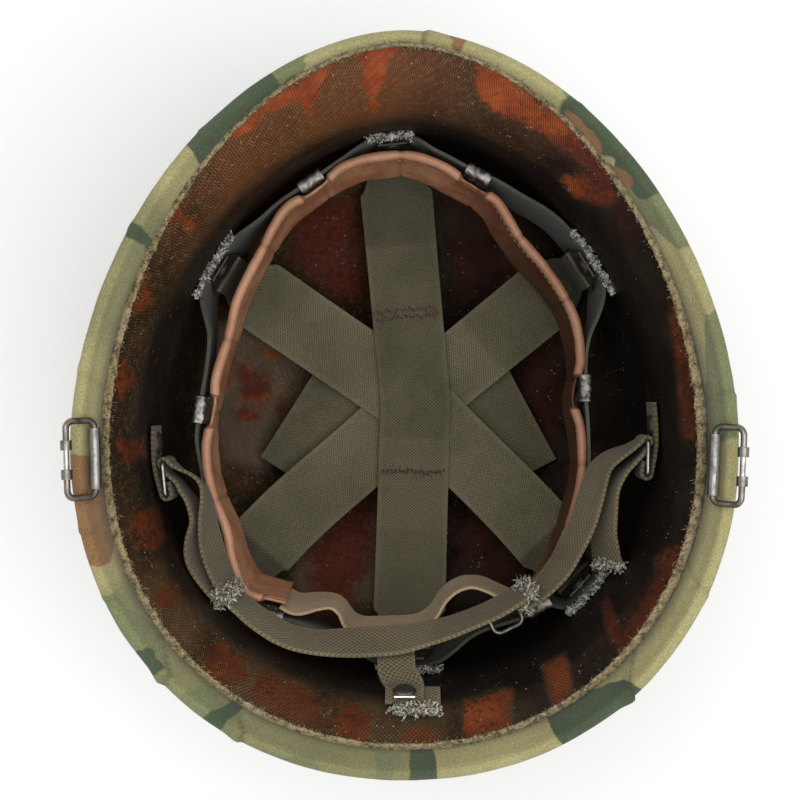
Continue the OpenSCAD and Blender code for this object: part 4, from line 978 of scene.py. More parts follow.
# Smears of dark red paint, and grey bare cloth, in the same way
DEEP = [[(296, 205), (352, 186), (366, 255), (366, 300), (338, 300), (286, 252)],
        [(450, 190), (500, 215), (540, 262), (505, 285), (455, 300)],
        [(455, 500), (485, 500), (532, 548), (500, 590), (455, 575)],
        [(304, 548), (330, 504), (370, 476), (374, 560), (348, 608), (314, 600)],
        [(284, 508), (322, 520), (306, 556)],
        [(500, 365), (560, 325), (575, 395), (545, 455), (520, 400)],
        [(238, 372), (262, 366), (272, 392), (246, 398)], [(262, 398), (290, 402), (284, 418)],
        [(216, 360), (232, 352), (238, 372), (222, 376)], [(236, 412), (252, 408), (256, 424)],
        [(540, 130), (600, 150), (650, 215), (640, 250), (590, 200)],
        [(560, 470), (600, 440), (640, 520), (600, 600), (560, 560)],
        [(530, 600), (560, 596), (612, 592), (640, 560), (664, 580), (630, 650), (560, 650)]]
GREY = [[(214, 322), (300, 338), (322, 372), (282, 420), (262, 470), (222, 460), (206, 400)],
        [(290, 560), (340, 480), (376, 460), (376, 604), (330, 604), (296, 600)]]
# The photograph's view: width of a pixel per mm of distance, eye's height, pixel of the axis, and
# a pixel's width on the liner
PX_SPREAD, EYE_Z, AXIS_PX, MM_PER_PX = 0.375 / 600, 765.0, (404.5, 402.0), 0.41


def photo_pixels(p):
    """Where points in mm appear in the photograph."""
    k = 1 / (PX_SPREAD * (EYE_Z - p[:, 2]))
    return np.stack([AXIS_PX[0] - p[:, 0] * k, AXIS_PX[1] + p[:, 1] * k], -1)


def inside_outlines(outlines, px):
    """How far inside the nearest outline each pixel is, in mm."""
    best = np.full(len(px), -60.0)
    for outline in outlines:
        a = np.array(outline, float)
        b = np.roll(a, -1, 0)
        near, inside = np.full(len(px), 1e9), np.zeros(len(px), bool)
        for (ax, ay), (bx, by) in zip(a, b):
            w = px - (ax, ay)
            d = np.array([bx - ax, by - ay])
            f = np.clip(w @ d / (d @ d), 0, 1)
            near = np.minimum(near, np.hypot(*(w - f[:, None] * d).T))
            between = (ay > px[:, 1]) != (by > px[:, 1])
            cut = ax + (px[:, 1] - ay) * (bx - ax) / (by - ay if by != ay else 1e-9)
            inside ^= between & (px[:, 0] < cut)
        best = np.maximum(best, np.where(inside, near, -near))
    return best * MM_PER_PX


def rim_spread(t):
    """How far the liner's edge leans out to the cover, in mm."""
    s, c = np.sin(np.radians(t)), np.cos(np.radians(t))
    return np.where(c > 0, 2.3, 1.3) * c * c + np.where(s < 0, 2.4, 1.6) * s * s


def leaning(t, n, depth):
    """Level shift of the liner's wall at a depth below its rim, growing towards the rim."""
    level = unit(n * [1.0, 1.0, 0.0])
    return level * (rim_spread(t) * smooth(depth, 34, 0))[:, None]


def liner_place(u, v):
    """The liner, ragged at its rim, with the places of its paint, its near-black darkening and bare
    cloth.
    """
    rows = liner_rows()
    t = u * 360 - 180
    j = step_of(v, len(rows) - 1)
    rim = LINER.rim(t)
    top = LINER.top
    z, pole = np.zeros(len(t)), np.ones(len(t))
    for k, (kind, value) in enumerate(rows):
        m = j == k
        if kind == "pole":
            pole[m] = value
        elif kind == "height":
            z[m] = value
        else:
            z[m] = (top + (rim - top) * value)[m]
    p, n = LINER.at(t, z), LINER.normal(t, z)
    near = smooth(rim - z, 4, 0)
    ragged = 0.45 * waves(p, 3.2, 7) + 0.35 * waves(p, 9, 8)
    off = -LINER_T / 2 + 0.12 * waves(p, 12, 9)
    q = p + n * off[:, None] + UP * (ragged * near - 0.3 * near)[:, None]
    gather(q, pole)
    depth = rim - z
    px = photo_pixels(q)
    q = q + leaning(t, n, depth)
    front, left, rear = (smooth(np.cos(np.radians(t - angle)), low, high) for angle, low, high
                         in ((-92, 0.3, 0.95), (172, -0.2, 0.7), (85, 0.3, 0.8)))
    # The wall is darkened to near black in a belt beside the headband and over most of the wearer's
    # left
    belt = smooth(depth, 12 + 6 * front, 26 + 5 * front) * smooth(depth, 104, 84)
    black = belt * (0.84 + 0.16 * left) + left * (0.82 + 0.12 * smooth(depth, 6, 20))
    grey = smooth(inside_outlines(GREY, px), -5, 4)
    crown = smooth(depth, 92, 108)
    # On the crown it darkens the half on the wearer's left
    dark_half = smooth(px[:, 0], 385, 470)
    black = np.clip(black * (1 - crown) + crown * (0.14 + 0.62 * dark_half - 0.1 * grey), 0, 1)
    worn = inside_outlines(RED, px)
    black = black * (1 - 0.85 * smooth(worn, -2, 1) * (1 - crown))
    rear_left = smooth(px[:, 0], 420, 470) * smooth(px[:, 1], 600, 660)
    fresh = 0.12 + 0.88 * smooth(px[:, 1], 320, 190) + 0.45 * rear_left + 0.5 * grey * crown
    net = rear * smooth(depth, 34, 26) * smooth(np.sin(np.radians(t * 13)), -0.7, 0.1)
    warm = front * (1.15 - 0.5 * smooth(px[:, 0], 385, 450)) + 0.3 * rear - 0.3 * left
    warm = np.clip(warm, 0, 1) * (1 - crown)
    values = {"red": worn, "fresh": np.clip(fresh, 0, 1), "deep": inside_outlines(DEEP, px),
              "grey": grey, "black": black, "net": net, "warm": warm}
    return q, (np.radians(t) * DUCK_UV_R, depth + UV_SHIFT), values


# The cut edge: its length in mm and its count of loose fibres
EDGE_LENGTH, EDGE_FIBRES = 760, 5600


def mark_outside(ob):
    """Adds the attribute outside: 1 on the bowl's outer face, 0 on its inner one."""
    faces = coordinates(ob.data).reshape(2, -1, 3)
    far = np.linalg.norm(faces - np.array([0, WIDEST_Y, 120]) * MM, axis=2).mean(1)
    store(ob.data, "outside", np.repeat(far == far.max(), faces.shape[1]))


class HELMET_OT_liner(bpy.types.Operator):
    """Liner with its ragged fibrous edge"""
    bl_idname = "helmet.liner"
    bl_label = "Liner"

    def execute(self, context):
        settings = settings_of(context)
        ob = sheet_mesh("liner_bowl", settings.around, len(liner_rows()) - 1, liner_place, True)
        thicken(ob, LINER_T)
        mark_outside(ob)
        finished(ob, "liner", duck_material(settings), ["liner_shell"], 40)
        rng = np.random.default_rng(11)
        felt = felt_material("cut_edge_fibres", tuple(settings.edge_cream))
        steps = 1440
        t = np.linspace(-180, 180, steps + 1)
        rim = LINER.rim(t)
        p, n = LINER.at(t, rim), LINER.normal(t, rim)
        p = p - n * (LINER_T / 2) + leaning(t, n, np.zeros(len(t)))

        def place(u, v):
            """The frayed cut edge: a lumpy cord of matted fibre along the top of the wall."""
            i = step_of(u, steps)
            w = v * 2 * math.pi
            s = np.column_stack([u * EDGE_LENGTH, np.cos(w) * 1.6, np.sin(w) * 1.6])
            fade = smooth(np.minimum(u, 1 - u), 0, 0.003)
            lump = (waves(s, 1.7, 21) * 0.7 + waves(s, 4, 23) * 0.6) * fade
            slow = waves(s, 13, 22) * fade
            r = 2.1 + 0.85 * lump + 0.4 * slow
            q = (p[i] + n[i] * (np.cos(w) * r)[:, None]
                 + UP * (np.sin(w) * r * 0.7 + 0.1 + 0.3 * slow)[:, None])
            return q, (u * EDGE_LENGTH, v * 9), {}

        cord = sheet_mesh("liner_cut_edge", steps, 14, place, True)
        k = rng.integers(0, steps, EDGE_FIBRES)
        w = rng.uniform(-0.3, math.pi + 0.3, EDGE_FIBRES)
        start = (p[k] + n[k] * (np.cos(w) * 1.8)[:, None] + UP * (np.sin(w) * 0.8)[:, None]
                 + rng.normal(size=(EDGE_FIBRES, 3)) * [0.5, 0.5, 0.05])
        way = (n[k] * np.cos(w)[:, None] + UP * (np.sin(w) * 0.5)[:, None]
               + rng.normal(size=(EDGE_FIBRES, 3)) * 0.8)
        fuzz = threads("liner_edge_fuzz", start, way, 0.8, 0.24, 12, 1.2)
        edge = joined("liner_cut_edge", [cord, fuzz])
        finished(edge, "liner", felt)
        return {"FINISHED"}


# Webbing suspension
# Angles of the six washers
WASHERS = (-86, -36, 44, 91, 138, 217)
# Height of the headband's middle, its width and its lean
HEADBAND_MID, HEADBAND_W, HEADBAND_LEAN = 90.0, 28.0, 7.0
# The crown straps cross above CROSSING_X at CROSSING_Z, leave the crown's curve at LEAVE_Z, and
# end at END_Z, STRAP_OFF off the wall
CROSSING_X, CROSSING_Z, LEAVE_Z, END_Z, STRAP_OFF = -5.0, 36.0, 80.0, 92.5, 7.3
# Webbing's thickness, the crown straps' width and their width at the washers, and the height of
# a layer at the crossing
WEB_T, CROWN_W, NARROW_W, LAYER = 1.4, 31.8, 17, 2.0
# Level reach and power of the crown's curve, and the width of the second layers
CROWN_REACH, CROWN_POWER, TAIL_W = 106, 1.25, 30
# The long strap's rows of stitches lie at these y
STITCH_ROWS = (-40.6, -38.8, 31.0, 33.0)
# The headband's route: (angle, distance off the wall)
HEADBAND = [(-91, 3.1), (-86, 3.1), (-81, 3.1), (-73, 4.4), (-63, 6.2), (-53, 5.2), (-41, 3.1),
            (-36, 3.1), (-31.5, 3.3), (-28, 6), (-22.5, 12), (-15, 15), (-6, 15), (2, 14.5),
            (13, 15), (24, 11), (34, 5), (39, 3.1), (44, 3.1), (49, 3.1), (55, 5.5), (67, 9.5),
            (79, 6), (86, 3.1), (91, 3.1), (96, 3.1), (102, 6.5), (109, 10.5), (120, 9),
            (126, 8.5), (129.3, 8), (132.3, 3.2), (138, 3.1), (143.5, 3.3), (148, 8), (158, 19),
            (172, 23.5), (184, 24.5), (192, 23.5), (201, 18.5), (208, 8.5), (212.5, 3.3),
            (217, 3.1), (222, 3.1), (229, 4), (238, 7.5), (248, 8), (261, 5)]


def headband_knots():
    """The knots of the headband's route as points."""
    return wall_at([r[0] for r in HEADBAND], HEADBAND_MID, [r[1] for r in HEADBAND])


def strap_top(t, z):
    """A crown strap's middle at angle t, where it lies against the headband's inner side."""
    off = STRAP_OFF + (HEADBAND_MID - z) * math.tan(math.radians(HEADBAND_LEAN))
    q = wall_at(t, HEADBAND_MID, off)
    return np.array([q[0], q[1], z])


def strap_half(t, centre, flip):
    """Rows of half a crown strap, from the crossing to its end: (point, side, width)."""
    foot = strap_top(t, LEAVE_Z)
    flat = np.array([foot[0] - centre[0], foot[1] - centre[1], 0])
    across = unit([-flat[1], flat[0], 0]) * flip
    wide = wall_tangent(t, LEAVE_Z) * flip
    rows = []
    for a in np.linspace(0, 90, 46)[:-1]:
        s, c = math.sin(math.radians(a)), math.cos(math.radians(a))
        lift = (LEAVE_Z - centre[2]) * (1 - c) ** CROWN_POWER
        w = blendin(CROWN_W, NARROW_W, 0 if a < 65 else min((a - 60) / 25, 1))
        rows.append((centre + flat * s + [0, 0, lift], unit(blendin(across, wide, s ** 4)), w))
    for f in np.linspace(0, 1, 6):
        rows.append((strap_top(t, blendin(LEAVE_Z, END_Z, f)), wide, NARROW_W))
    return rows


def crown_strap_path(ta, tb, z, sway):
    """Middle line, width direction and width; sway moves its rear half sideways, in mm."""
    centre = np.array([CROSSING_X, 0, z])
    rows = strap_half(ta, centre, -1)[:0:-1] + strap_half(tb, centre, 1)
    p, side, wide = (np.array([r[k] for r in rows]) for k in range(3))
    f = np.concatenate([[0], np.cumsum(np.linalg.norm(np.diff(p, axis=0), axis=1))])
    f = f / f[-1]
    level = unit(side[-1] * [1, 1, 0])
    forward = level * (1 if level[1] < 0 else -1)
    return p + np.outer(sway * smooth(f, 0.5, 0.8) * smooth(f, 0.96, 0.84), forward), side, wide


def tail_path(start, end):
    """A second layer's middle line, just under the crown's curve, and its width direction."""
    start, end = np.array(start, float), np.array(end, float)
    d = unit(end - start)
    count = 20
    f = np.linspace(0, 1, count)[:, None]
    q = start + (end - start) * f
    r = np.hypot(q[:, 0] - CROSSING_X, q[:, 1])
    a = np.arcsin(r / CROWN_REACH)
    z = (CROSSING_Z - 3.0 - 4 * f[:, 0]
         + (LEAVE_Z - CROSSING_Z) * (1 - np.cos(a)) ** CROWN_POWER)
    side = np.tile([-d[1], d[0], 0], (count, 1))
    return np.column_stack([q, z]), side


def even_shade(amount):
    """Darkens a strap evenly."""
    return lambda s: np.full(len(s), amount)


def strap_shade(bands):
    """Darkens a strap between places along it: (from, to, amount), with soft ends."""
    def shade(s):
        painted_shade = np.zeros(len(s))
        for low, high, amount in bands:
            painted_shade = np.maximum(painted_shade, amount * smooth(s, low - 1.5, low + 1.5)
                              * smooth(s, high + 1.5, high - 1.5))
        return painted_shade
    return shade


def stitch_row(p, side, y):
    """A slightly uneven row of points right across a strap at y, and their outward directions."""
    i = int(np.argmin(np.abs(p[:, 1] - y)))
    d = unit(p[i + 1] - p[i - 1])
    n = np.cross(d, side[i])
    n = n * (1 if n[2] > 0 else -1)
    x = np.linspace(-14.5, 14.5, 30)
    jag = 0.6 * np.sin(x * 1.3 + y) + 0.4 * np.sin(x * 3.1)
    row = p[i] + side[i] * x[:, None] + n * (WEB_T / 2 + 0.35) + d * jag[:, None]
    return row, np.tile(n, (len(row), 1))


class HELMET_OT_suspension(bpy.types.Operator):
    """Crown straps, their second layers, and the headband"""
    bl_idname = "helmet.suspension"
    bl_label = "Webbing suspension"

    def execute(self, context):
        settings = settings_of(context)
        light = webbing_material("crown_webbing_olive", tuple(settings.web_light))
        dark = webbing_material("band_webbing_dark", tuple(settings.web_dark), seed=2.0)
        # Name, node, the two ends' angles, layers under it at the crossing, sway, and shading
        straps = (("crown_strap_front_rear", "crown_strap_long", (-86, 91), 2, 0,
                   [(0, 62, 0.62), (62, 150, 0.36), (150, 190, 0.2), (190, 264, 0.3)]),
                  ("crown_strap_right_front", "crown_strap_right", (-36, 138), 1, 3.5,
                   [(0, 30, 0.42), (212, 270, 0.72)]),
                  ("crown_strap_left_front", "crown_strap_left", (217, 44), 0, 5.0,
                   [(0, 45, 0.7), (45, 80, 0.3), (219, 270, 0.8)]))
        runs = []
        for k, (name, node, ends, under, sway, bands) in enumerate(straps):
            p, side, w = crown_strap_path(*ends, CROSSING_Z + under * LAYER, sway)
            ob = ribbon(name, p, side, w, WEB_T, across=22, spacing=1.5, wave=0.35, seed=30 + k,
                        shade=strap_shade(bands))
            finished(ob, "liner", light, [node])
            if node == "crown_strap_long":
                runs = [stitch_row(p, side, y) for y in STITCH_ROWS]
        sewn = stitches("crown_strap_stitches", runs, 0.62, 1.9, 0.5)
        starts = np.concatenate([r[0][::3] for r in runs])
        fluff = threads("loose_threads", starts, np.tile([0.2, 0.5, 0.6], (len(starts), 1)),
                        3.0, 0.16, 5, 1.1)
        sewn = joined("crown_strap_stitches", [sewn, fluff])
        finished(sewn, "liner",
                 fibre_material("thread_brown", (0.075, 0.028, 0.016)))
        for k, (name, start, end) in enumerate((("crown_tail_right", (24, -13), (53, 33)),
                                                ("crown_tail_left", (-31, -14), (-56, 33)))):
            p, side = tail_path(start, end)
            ob = ribbon(name + "_webbing", p, side, TAIL_W, WEB_T, across=20, wave=0.5,
                        seed=40 + k, shade=even_shade(0.42))
            finished(ob, "liner", light, [name])
        p = spline(headband_knots(), 10, True)
        t = spline([(r[0], 0) for r in HEADBAND] + [(269, 0)], 10)[:len(p), 0]
        # It leans like the wall at the washers and hangs upright between them
        held = np.max([smooth(np.abs(wrapped(t - w)), 14, 6) for w in WASHERS], 0)
        held = np.maximum(held, smooth(t, 206, 214) * smooth(t, 254, 240))
        side = lean_side(p, blendin(-1.0, HEADBAND_LEAN, held), True)
        band = ribbon("headband_strip", p, side, HEADBAND_W, WEB_T, across=14, closed=True,
                      wave=0.22, seed=50)
        finished(band, "liner", dark, ["headband_webbing"])
        self.hems()
        return {"FINISHED"}

    def hems(self):
        """Frayed ends of the crown straps, turned over the headband at each washer."""
        parts, starts, ways = [], [], []
        rng = np.random.default_rng(77)
        z = HEADBAND_MID + HEADBAND_W / 2 + 2.2
        count = 230
        for k, (t, half) in enumerate(zip(WASHERS, (6, 7, 7, 7, 7, 7))):
            a = t + np.linspace(-1, 1, 9) * half
            p = wall_at(a, z, 1.7 + 0.3 * np.sin(a * 0.8 + k))
            parts.append(ribbon(f"hem{k}", p, lean_side(p, 0), 4.2, 1.9, across=6, spacing=0.8,
                                wave=1.0, seed=60 + k, bevel=0.3))
            fine = spline(p, 30)
            i = rng.integers(0, len(fine), count)
            starts.append(fine[i] + rng.normal(size=(count, 3)) * [0.75, 0.75, 0.4] + [0, 0, 1.7])
            ways.append(rng.normal(size=(count, 3)) * [0.9, 0.9, 0.35] + [0, 0, 0.75])
        ends = threads("hem_yarns", np.concatenate(starts), np.concatenate(ways), 1.3, 0.48, 78,
                       1.0, 5)
        ob = joined("frayed_hems", parts + [ends])
        finished(ob, "liner", yarn_material("frayed_grey_yarn"), ["strap_hems"])


# Sweatband
# Routes here and below: (angle, distance off the wall, lean in degrees)
LEATHER = [(-235, 15.2, 4), (-230, 15.8, 4), (-224, 18, 4), (-214, 22.5, 4), (-203, 25, 4),
           (-192, 26.5, 4), (-184, 28, 5), (-171, 29, 6), (-163, 24.5, 6), (-152, 20, 8),
           (-140, 19.5, 12), (-129, 19.5, 14), (-117, 13, 14), (-107, 12, 14), (-92, 9.5, 12),
           (-83, 8.8, 12), (-73.5, 8, 10), (-63, 9.4, 8), (-54, 10, 8), (-43, 15, 4),
           (-32, 17.5, 3), (-24, 20.5, 3), (-14, 20.5, 3), (0, 19.4, 3), (14, 18.6, 4),
           (28, 18.3, 6), (37, 13.5, 9), (46, 8.6, 14), (57, 13.5, 16)]
COTTON = [(56, 13.6, 15), (60, 14.2, 14), (65, 19.2, 10), (69, 21.5, 8), (72.5, 20, 8),
          (75.5, 16, 10), (79, 14.5, 10), (84, 15.5, 10), (90, 16.5, 10), (94, 17.5, 10),
          (97.5, 21, 8), (101.5, 27, 6), (106, 30, 6), (111, 30, 6), (115.5, 26.5, 8),
          (119.5, 20, 8), (123, 13.6, 6), (126.5, 11.8, 4), (130, 12.2, 4), (133.5, 13.2, 4)]
# The leather's rolled lip, thickness and height, and the height that its lip lies at
LIP_R, LEATHER_T, LEATHER_H, LIP_Z = 2.0, 1.5, 28.0, 104.0
# Its stitches lie this far under the middle of the lip, and its creases at these mm along it
STITCH_DOWN = 3.6
CREASES = (34, 62, 97, 131, 163, 190, 226, 262, 298, 340, 371, 408)
# Widths of the cotton piece and of a clip
COTTON_W, CLIP_W = 24, 11
# The clips that hold it to the headband: (angle along the leather's route, headband knot)
CLIPS = ((-63, -63), (-6, -6), (55, 55), (-234, 126), (-168, 192), (-112, 248))


class HELMET_OT_sweatband(bpy.types.Operator):
    """Leather sweatband with its rolled lip, the cotton piece, clips and buckle"""
    bl_idname = "helmet.sweatband"
    bl_label = "Sweatband"

    def execute(self, context):
        settings = settings_of(context)
        leather = leather_material(settings)
        q = spline(LEATHER, 12)
        p = wall_at(q[:, 0], LIP_Z, q[:, 1])
        count = 430
        p, (lean, angle), length = resample(p, [q[:, 2], q[:, 0]], count)
        lean, angle = lean[:, 0], angle[:, 0]
        run = np.linspace(0, length, count + 1)
        # Its lip is cut open at each clip, and the face bows away from the headband there
        open_at = [run[int(np.argmin(np.abs(angle - c[0])))] for c in CLIPS]
        gap = np.max([smooth(np.abs(run - c), 7.2, 5.6) for c in open_at], 0)
        bow = np.max([smooth(np.abs(run - c), 15, 2) for c in open_at], 0)
        # Dirt and painted shade, strongest on the wearer's left
        grime_and_shade = smooth(np.cos(np.radians(angle + 175)), 0.24, 0.85)
        d = along(p)
        inward = unit(np.cross(UP, d))
        # Section: down the inner face, round the foot, up the outer face, round the lip
        t2 = LEATHER_T / 2
        foot = LIP_R - LEATHER_H
        section = [(t2, y) for y in (-1.8, -2.6, -3.4)]
        section += [(t2, y) for y in np.linspace(-5, foot + 0.5, 11)]
        section += [(t2 * 0.6, foot + 0.1), (-t2 * 0.6, foot + 0.1)]
        section += [(-t2, y) for y in np.linspace(foot + 0.5, -1.8, 12)]
        section += [(LIP_R * math.cos(a), LIP_R * math.sin(a))
                    for a in np.linspace(math.radians(215), math.radians(-35), 13)]
        section = np.array(section + section[:1])
        rows = len(section) - 1

        def place(u, v):
            i = step_of(u, count)
            x, y = section[step_of(v, rows)].T
            down = np.maximum(0, -y)
            s = u * length
            base = p[i]
            ripple = 0.5 * waves(base, 11, 81) + 0.25 * waves(base, 4.5, 82)
            belly = 0.9 * waves(np.column_stack([s, down, 0 * s]), 22, 83)
            crease = np.max([np.exp(-((s - c) / 0.9) ** 2) for c in CREASES], 0)
            swell = 1 + 0.1 * waves(np.column_stack([s, 0 * s, 0 * s]), 9, 85)
            pinch = (1 - 0.2 * crease) * swell
            lip_part = smooth(y, -2.2, -0.6) * gap[i]
            off = (x * pinch * (1 - 0.62 * lip_part) + down * np.tan(np.radians(lean[i]))
                   + ripple * 0.5 + belly * (down / 26) + 1.9 * bow[i] * smooth(y, -14, 0))
            ragged = 0.5 * waves(base, 1.6, 86) * gap[i]
            z = y * pinch - 0.15 * crease + 0.25 * ripple - (2.2 + ragged) * lip_part
            point = base + inward[i] * off[:, None] + UP * z[:, None]
            lip = smooth(y, -1.9, -0.2)
            raw = smooth(gap[i], 0.1, 0.5) * smooth(gap[i], 0.98, 0.6)
            # A dark line where the lip meets the face: partly the seam, partly painted shade under
            # the roll
            seam = np.exp(-((y + 2.2) / 0.8) ** 2)
            return point, (s, v * 60), {"lip": lip * (1 - gap[i]), "grime": grime_and_shade[i],
                                        "crease": np.maximum(crease * 0.5 + seam, raw * lip),
                                        "cut": smooth(y, foot + 0.6, foot + 0.4)}

        band = sheet_mesh("leather_band", count, rows, place, True)
        bpy.ops.object.mode_set(mode="EDIT")
        bpy.ops.mesh.select_all(action="DESELECT")
        bpy.ops.mesh.select_non_manifold()
        bpy.ops.mesh.fill_holes(sides=0)
        bpy.ops.mesh.select_all(action="SELECT")
        bpy.ops.mesh.normals_make_consistent(inside=False)
        bpy.ops.object.mode_set(mode="OBJECT")
        finished(band, "liner", leather, ["sweatband_leather"])
        off = LEATHER_T / 2 + 0.25 + STITCH_DOWN * np.tan(np.radians(lean))
        row = p + inward * off[:, None] - UP * STITCH_DOWN
        sewn = stitches("sweatband_stitches", [(row, inward)], 0.24, 2.0, 0.8)
        finished(sewn, "liner", fibre_material("thread_tan", (0.3, 0.2, 0.12)))
        q = spline(COTTON, 10)
        path = wall_at(q[:, 0], HEADBAND_MID, q[:, 1])
        side = lean_side(path, q[:, 2])
        ob = ribbon("cotton_piece", path, side, COTTON_W, 1.2, across=16, spacing=1.2, wave=0.5,
                    seed=90, bevel=0.2)
        cotton = webbing_material("sweatband_cotton_grey", tuple(settings.cotton),
                                  (0.0011, 0.0011), 0.25, 4.0)
        finished(ob, "liner", cotton, ["sweatband_rear"])
        clip = metal_material("clip_worn_steel", (0.28, 0.27, 0.25), 0.5, 0.2, 0.2)
        self.clips(clip)
        dress_nodes(clip, "sweatband_buckle")
        return {"FINISHED"}

    def clips(self, metal):
        """Crumpled sheet clips, each folded over the headband's top edge, with a tongue that
        grips the leather where its lip is open."""
        knots, parts = headband_knots(), []
        top = HEADBAND_MID + HEADBAND_W / 2
        # Section: up the outer leg, over the headband, down the inner leg, out along the tongue
        bends = np.array([(-1.5, -5.5), (-1.6, -3), (-1.6, -0.4), (-1.1, 0.75), (0.4, 1.0),
                          (1.9, 0.75), (2.5, -0.3), (2.4, -2.6), (2.7, -5), (3.6, -6.2)])
        q = spline(bends, 4)
        for k, knot in enumerate(c[1] for c in CLIPS):
            i = [r[0] for r in HEADBAND].index(knot)
            d = unit(knots[(i + 1) % len(knots)] - knots[i - 1])
            inward = unit(np.cross(UP, d))
            middle = np.array([knots[i][0], knots[i][1], top])
            path = middle + q[:, :1] * inward + q[:, 1:] * UP

            def place(u, v):
                s = (v - 0.5) * CLIP_W
                flat = path[step_of(u, len(path) - 1)] + s[:, None] * d
                tooth = 0.5 * np.sin(s * 3.4 + k) * smooth(np.abs(u - 0.5), 0.32, 0.5)
                dent = 0.8 * waves(flat, 1.9, 140 + k)
                lift = 0.45 * waves(flat, 3.1, 150 + k) + tooth
                point = flat + inward * dent[:, None] + UP * lift[:, None]
                return point, (u * 20, v * CLIP_W), {}

            ob = sheet_mesh(f"clip{k}", len(path) - 1, 22, place)
            thicken(ob, 0.6, 0.12)
            parts.append(ob)
        finished(joined("sweatband_crimped_clips", parts), "liner", metal,
                 ["sweatband_clips"], 40)


# Nape strap
# Height of the strap's middle, and its width
NAPE_Z, NAPE_W = 119.0, 19.0
CENTRE_ROUTE = [(41, 6.2, 16), (47.5, 7.0, 22), (54.5, 7.2, 26), (61, 7.6, 27), (67.5, 9.6, 29),
                (74.5, 12.8, 35), (82, 15.6, 38), (89, 17.2, 35), (96, 19.4, 28),
                (106.5, 21.4, 21), (117, 22.2, 20), (127, 22.4, 18)]
RIGHT_OUTER = [(42.5, 4.3, 15), (37, 4.4, 18), (31, 5.2, 22), (27, 8, 20), (22.5, 12.2, 12),
               (19, 12.8, 8), (16, 12.2, 5), (13, 10.2, 2), (10.8, 8.8, 0), (8.5, 5.6, 0)]
RIGHT_INNER = [(8, 10.5, -4), (10, 15, -6), (13, 18, -4), (17, 18.2, 4), (22, 16.2, 12),
               (29, 13, 20), (34, 10.8, 20), (38.5, 9, 18), (43, 8.5, 17)]
LEFT_OUTER = [(147.5, 5.6, 28), (151, 10, 27), (155, 13.6, 24), (163, 16.2, 16), (167, 16, 12),
              (171, 13.4, 6), (174, 9.4, 1), (176.4, 5.8, 0)]
LEFT_INNER = [(177.3, 11, 4), (175, 17, 12), (172.6, 20.8, 16), (169.4, 22.6, 20),
              (163, 23.2, 24), (155, 22.4, 25), (147, 21.8, 25), (139, 20.2, 23),
              (132, 19.6, 20), (124, 19.6, 18)]
# Radius of the links' wire, the webbing's gap to it, and the radius of its turn
WIRE_R, WIRE_GAP = 0.9, 0.3
TURN_R = WIRE_R + WIRE_GAP + WEB_T / 2
# Distances off the wall of a link's front bar, which holds the strap, and its rear bar
FRONT_BAR_OFF, REAR_BAR_OFF = 5.2, 4.4
# Height of the rear tab's middle, and the widths of its two layers
REAR_TAB_Z, REAR_TAB_W, REAR_BACK_W = 141.0, 15, 18


def turn_round(t, off, sense):
    """Half a turn of webbing round the wire of a link."""
    c, q = wall_at(t, NAPE_Z, off), wall_at(t, NAPE_Z, off + 1)
    v, d = q - c, wall_tangent(t, NAPE_Z)
    u = d * (1 if d[1] > 0 else -1)
    return np.array([c + TURN_R * (sense * math.sin(a) * u - math.cos(a) * v)
                     for a in np.radians(np.arange(0, 181, 22.5))])


def on_route(route, steps=4):
    """Points and leans along a route of the nape strap."""
    q = spline(route, steps)
    return wall_at(q[:, 0], NAPE_Z, q[:, 1]), q[:, 2]


def frayed(name, point, side, way, wide, count, seed, length=1.9):
    """Short thick yarn ends, and a few long loose ones, along the end of a strap."""
    rng = np.random.default_rng(seed)
    f = rng.uniform(-0.5, 0.5, count)
    starts = point + np.outer(f, side) * wide + rng.normal(size=(count, 3)) * [0.9, 0.9, 0.7]
    ways = unit(way) * 0.5 + rng.normal(size=(count, 3)) * 0.7
    stubs = threads(name, starts, ways, length, 0.72, seed + 1, 1.5, 5)
    few = max(3, count // 50)
    loose = threads(name + "_loose", starts[:few], ways[:few], length * 2.6, 0.17, seed + 2, 1.0)
    return joined(name, [stubs, loose])


